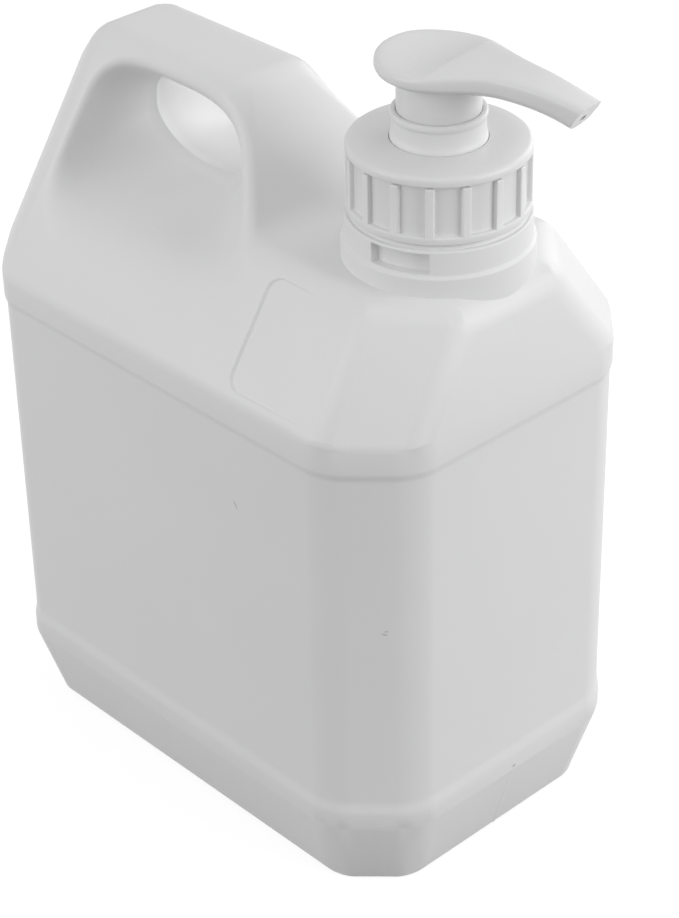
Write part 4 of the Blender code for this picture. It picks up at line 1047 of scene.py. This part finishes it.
# %% [markdown]
# ## Foam
# The gasket is a closed-cell foam, so it is matt and shows fine pores. Cells of the right size come
# straight from a Voronoi texture: its distance presses the pores in and darkens them with painted shade.
# Noise would give soft blots.

# %% Gasket foam
PORE_SCALE, PORE_SHADE_CONTRAST, PORE_DEPTH = 2600, 1.6, 0.1 * MM
PORE_SHADE_COLOR, FOAM_COLOR = (0.55, 0.55, 0.54, 1), (0.72, 0.72, 0.70, 1)
foam, tree, shader = new_material("gasket_foam")
pores = tree.nodes.new("ShaderNodeTexVoronoi")
distance = filled(tree, pores, {"Scale": PORE_SCALE, "Vector": object_place(tree)}).outputs["Distance"]
# The darker colour in each pore is painted shade in the pressed-in cell, not a different material.
tone = mixed(tree, math_node(tree, "MULTIPLY", distance, PORE_SHADE_CONTRAST), PORE_SHADE_COLOR, FOAM_COLOR)
finish(tree, shader, tone, 0.85, distance, PORE_DEPTH)
wear(nodes["neck_gasket"], foam)

# %% [markdown]
# ## Steel
# The spring and the ball are stainless steel. Drawn wire keeps fine lines from the die, and the ball is
# lapped smooth. Both are the same noise, stretched along the wire and even and almost without depth on the
# ball. It also shifts colour and roughness a little.

# %% Stainless steel
LINE_SCALE, DARK_STEEL, LIGHT_STEEL = 1200.0, (0.54, 0.54, 0.55, 1), (0.68, 0.68, 0.69, 1)


def steel(name, roughness, stretch, depth):
    material, tree, shader = new_material(name)
    shader.inputs["Metallic"].default_value = 1.0
    mapping = tree.nodes.new("ShaderNodeMapping")
    place = filled(tree, mapping, {"Scale": stretch, "Vector": object_place(tree)}).outputs["Vector"]
    lines = noise(tree, place, LINE_SCALE, 3.0, 0.6)
    finish(tree, shader, mixed(tree, lines, DARK_STEEL, LIGHT_STEEL),
           math_node(tree, "MULTIPLY_ADD", lines, 0.15, roughness), lines, depth)
    return material


wear(nodes["return_spring"], steel("drawn_wire", 0.18, (1, 1, 0.15), 0.02 * MM))
wear(nodes["inlet_ball"], steel("lapped_ball", 0.08, (1, 1, 1), 0.002 * MM))

# %% [markdown]
# ## Floor and light
# The jug stands on a pale sweep that looks white to the camera and still takes a soft shadow. Most of the
# light is even and comes from the world. Three large soft lamps shape it: the right one is the strongest
# and makes the end face and the front corner brighter than the long face, the left one lifts the long face,
# and the one behind lights the far rims. The floor's glow is only for camera, mirror and glass rays, so it
# adds no light on the object.

# %% Floor, world and lamps
LAMP_SIZE = 0.6


def seen_directly(tree):
    path = tree.nodes.new("ShaderNodeLightPath")
    seen = math_node(tree, "MAXIMUM", path.outputs["Is Camera Ray"], path.outputs["Is Glossy Ray"])
    return math_node(tree, "MAXIMUM", seen, path.outputs["Is Transmission Ray"])


def make_floor(color, glow):
    bm = bmesh.new()
    bmesh.ops.create_grid(bm, x_segments=1, y_segments=1, size=6.0)
    floor = as_object("floor", bm)
    material, tree, shader = new_material("pale_floor")
    filled(tree, shader, {"Base Color": (color, color, color, 1), "Roughness": 0.9, "Specular IOR Level": 0.1,
                          "Emission Color": (1, 1, 1, 1),
                          "Emission Strength": math_node(tree, "MULTIPLY", seen_directly(tree), glow)})
    wear(floor, material)
    floor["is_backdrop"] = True


def make_world(strength):
    world = bpy.data.worlds.new("studio")
    world.use_nodes = True
    tree = world.node_tree
    sky = tree.nodes["Background"]
    seen = tree.nodes.new("ShaderNodeLightPath").outputs["Is Camera Ray"]
    filled(tree, sky, {"Color": (1, 1, 1, 1),
                       "Strength": math_node(tree, "MULTIPLY_ADD", seen, 1.0 - strength, strength)})
    bpy.context.scene.world = world


def add_lamp(name, place, aim, power):
    light = bpy.data.lights.new(name, "AREA")
    light.shape = "SQUARE"
    light.size = LAMP_SIZE
    light.energy = power
    lamp = bpy.data.objects.new(name, light)
    lamp.location = place
    lamp.rotation_euler = (Vector(place) - Vector(aim)).to_track_quat("Z", "Y").to_euler()
    bpy.context.scene.collection.objects.link(lamp)


bpy.context.scene.view_settings.view_transform = "Standard"
make_floor(0.24, 0.84)
make_world(0.57)
add_lamp("left_lamp", (-0.24, -0.78, 0.45), (0, 0, 0.13), 2.4)
add_lamp("right_lamp", (0.78, 0.32, 0.44), (0, 0, 0.13), 3.7)
add_lamp("back_lamp", (0.0, 0.75, 0.42), (0, 0, 0.15), 1.9)

# %% [markdown]
# ## Last check
# The box of the solids and the box of the dressed object are written side by side, so that a piece that has
# grown out of its place is noticed.

# %% Check and finish
scene_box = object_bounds()
for label, box in (("solids", cad_box), ("dressed", scene_box)):
    print(label, [round(high - low, 4) for low, high in zip(*box)])
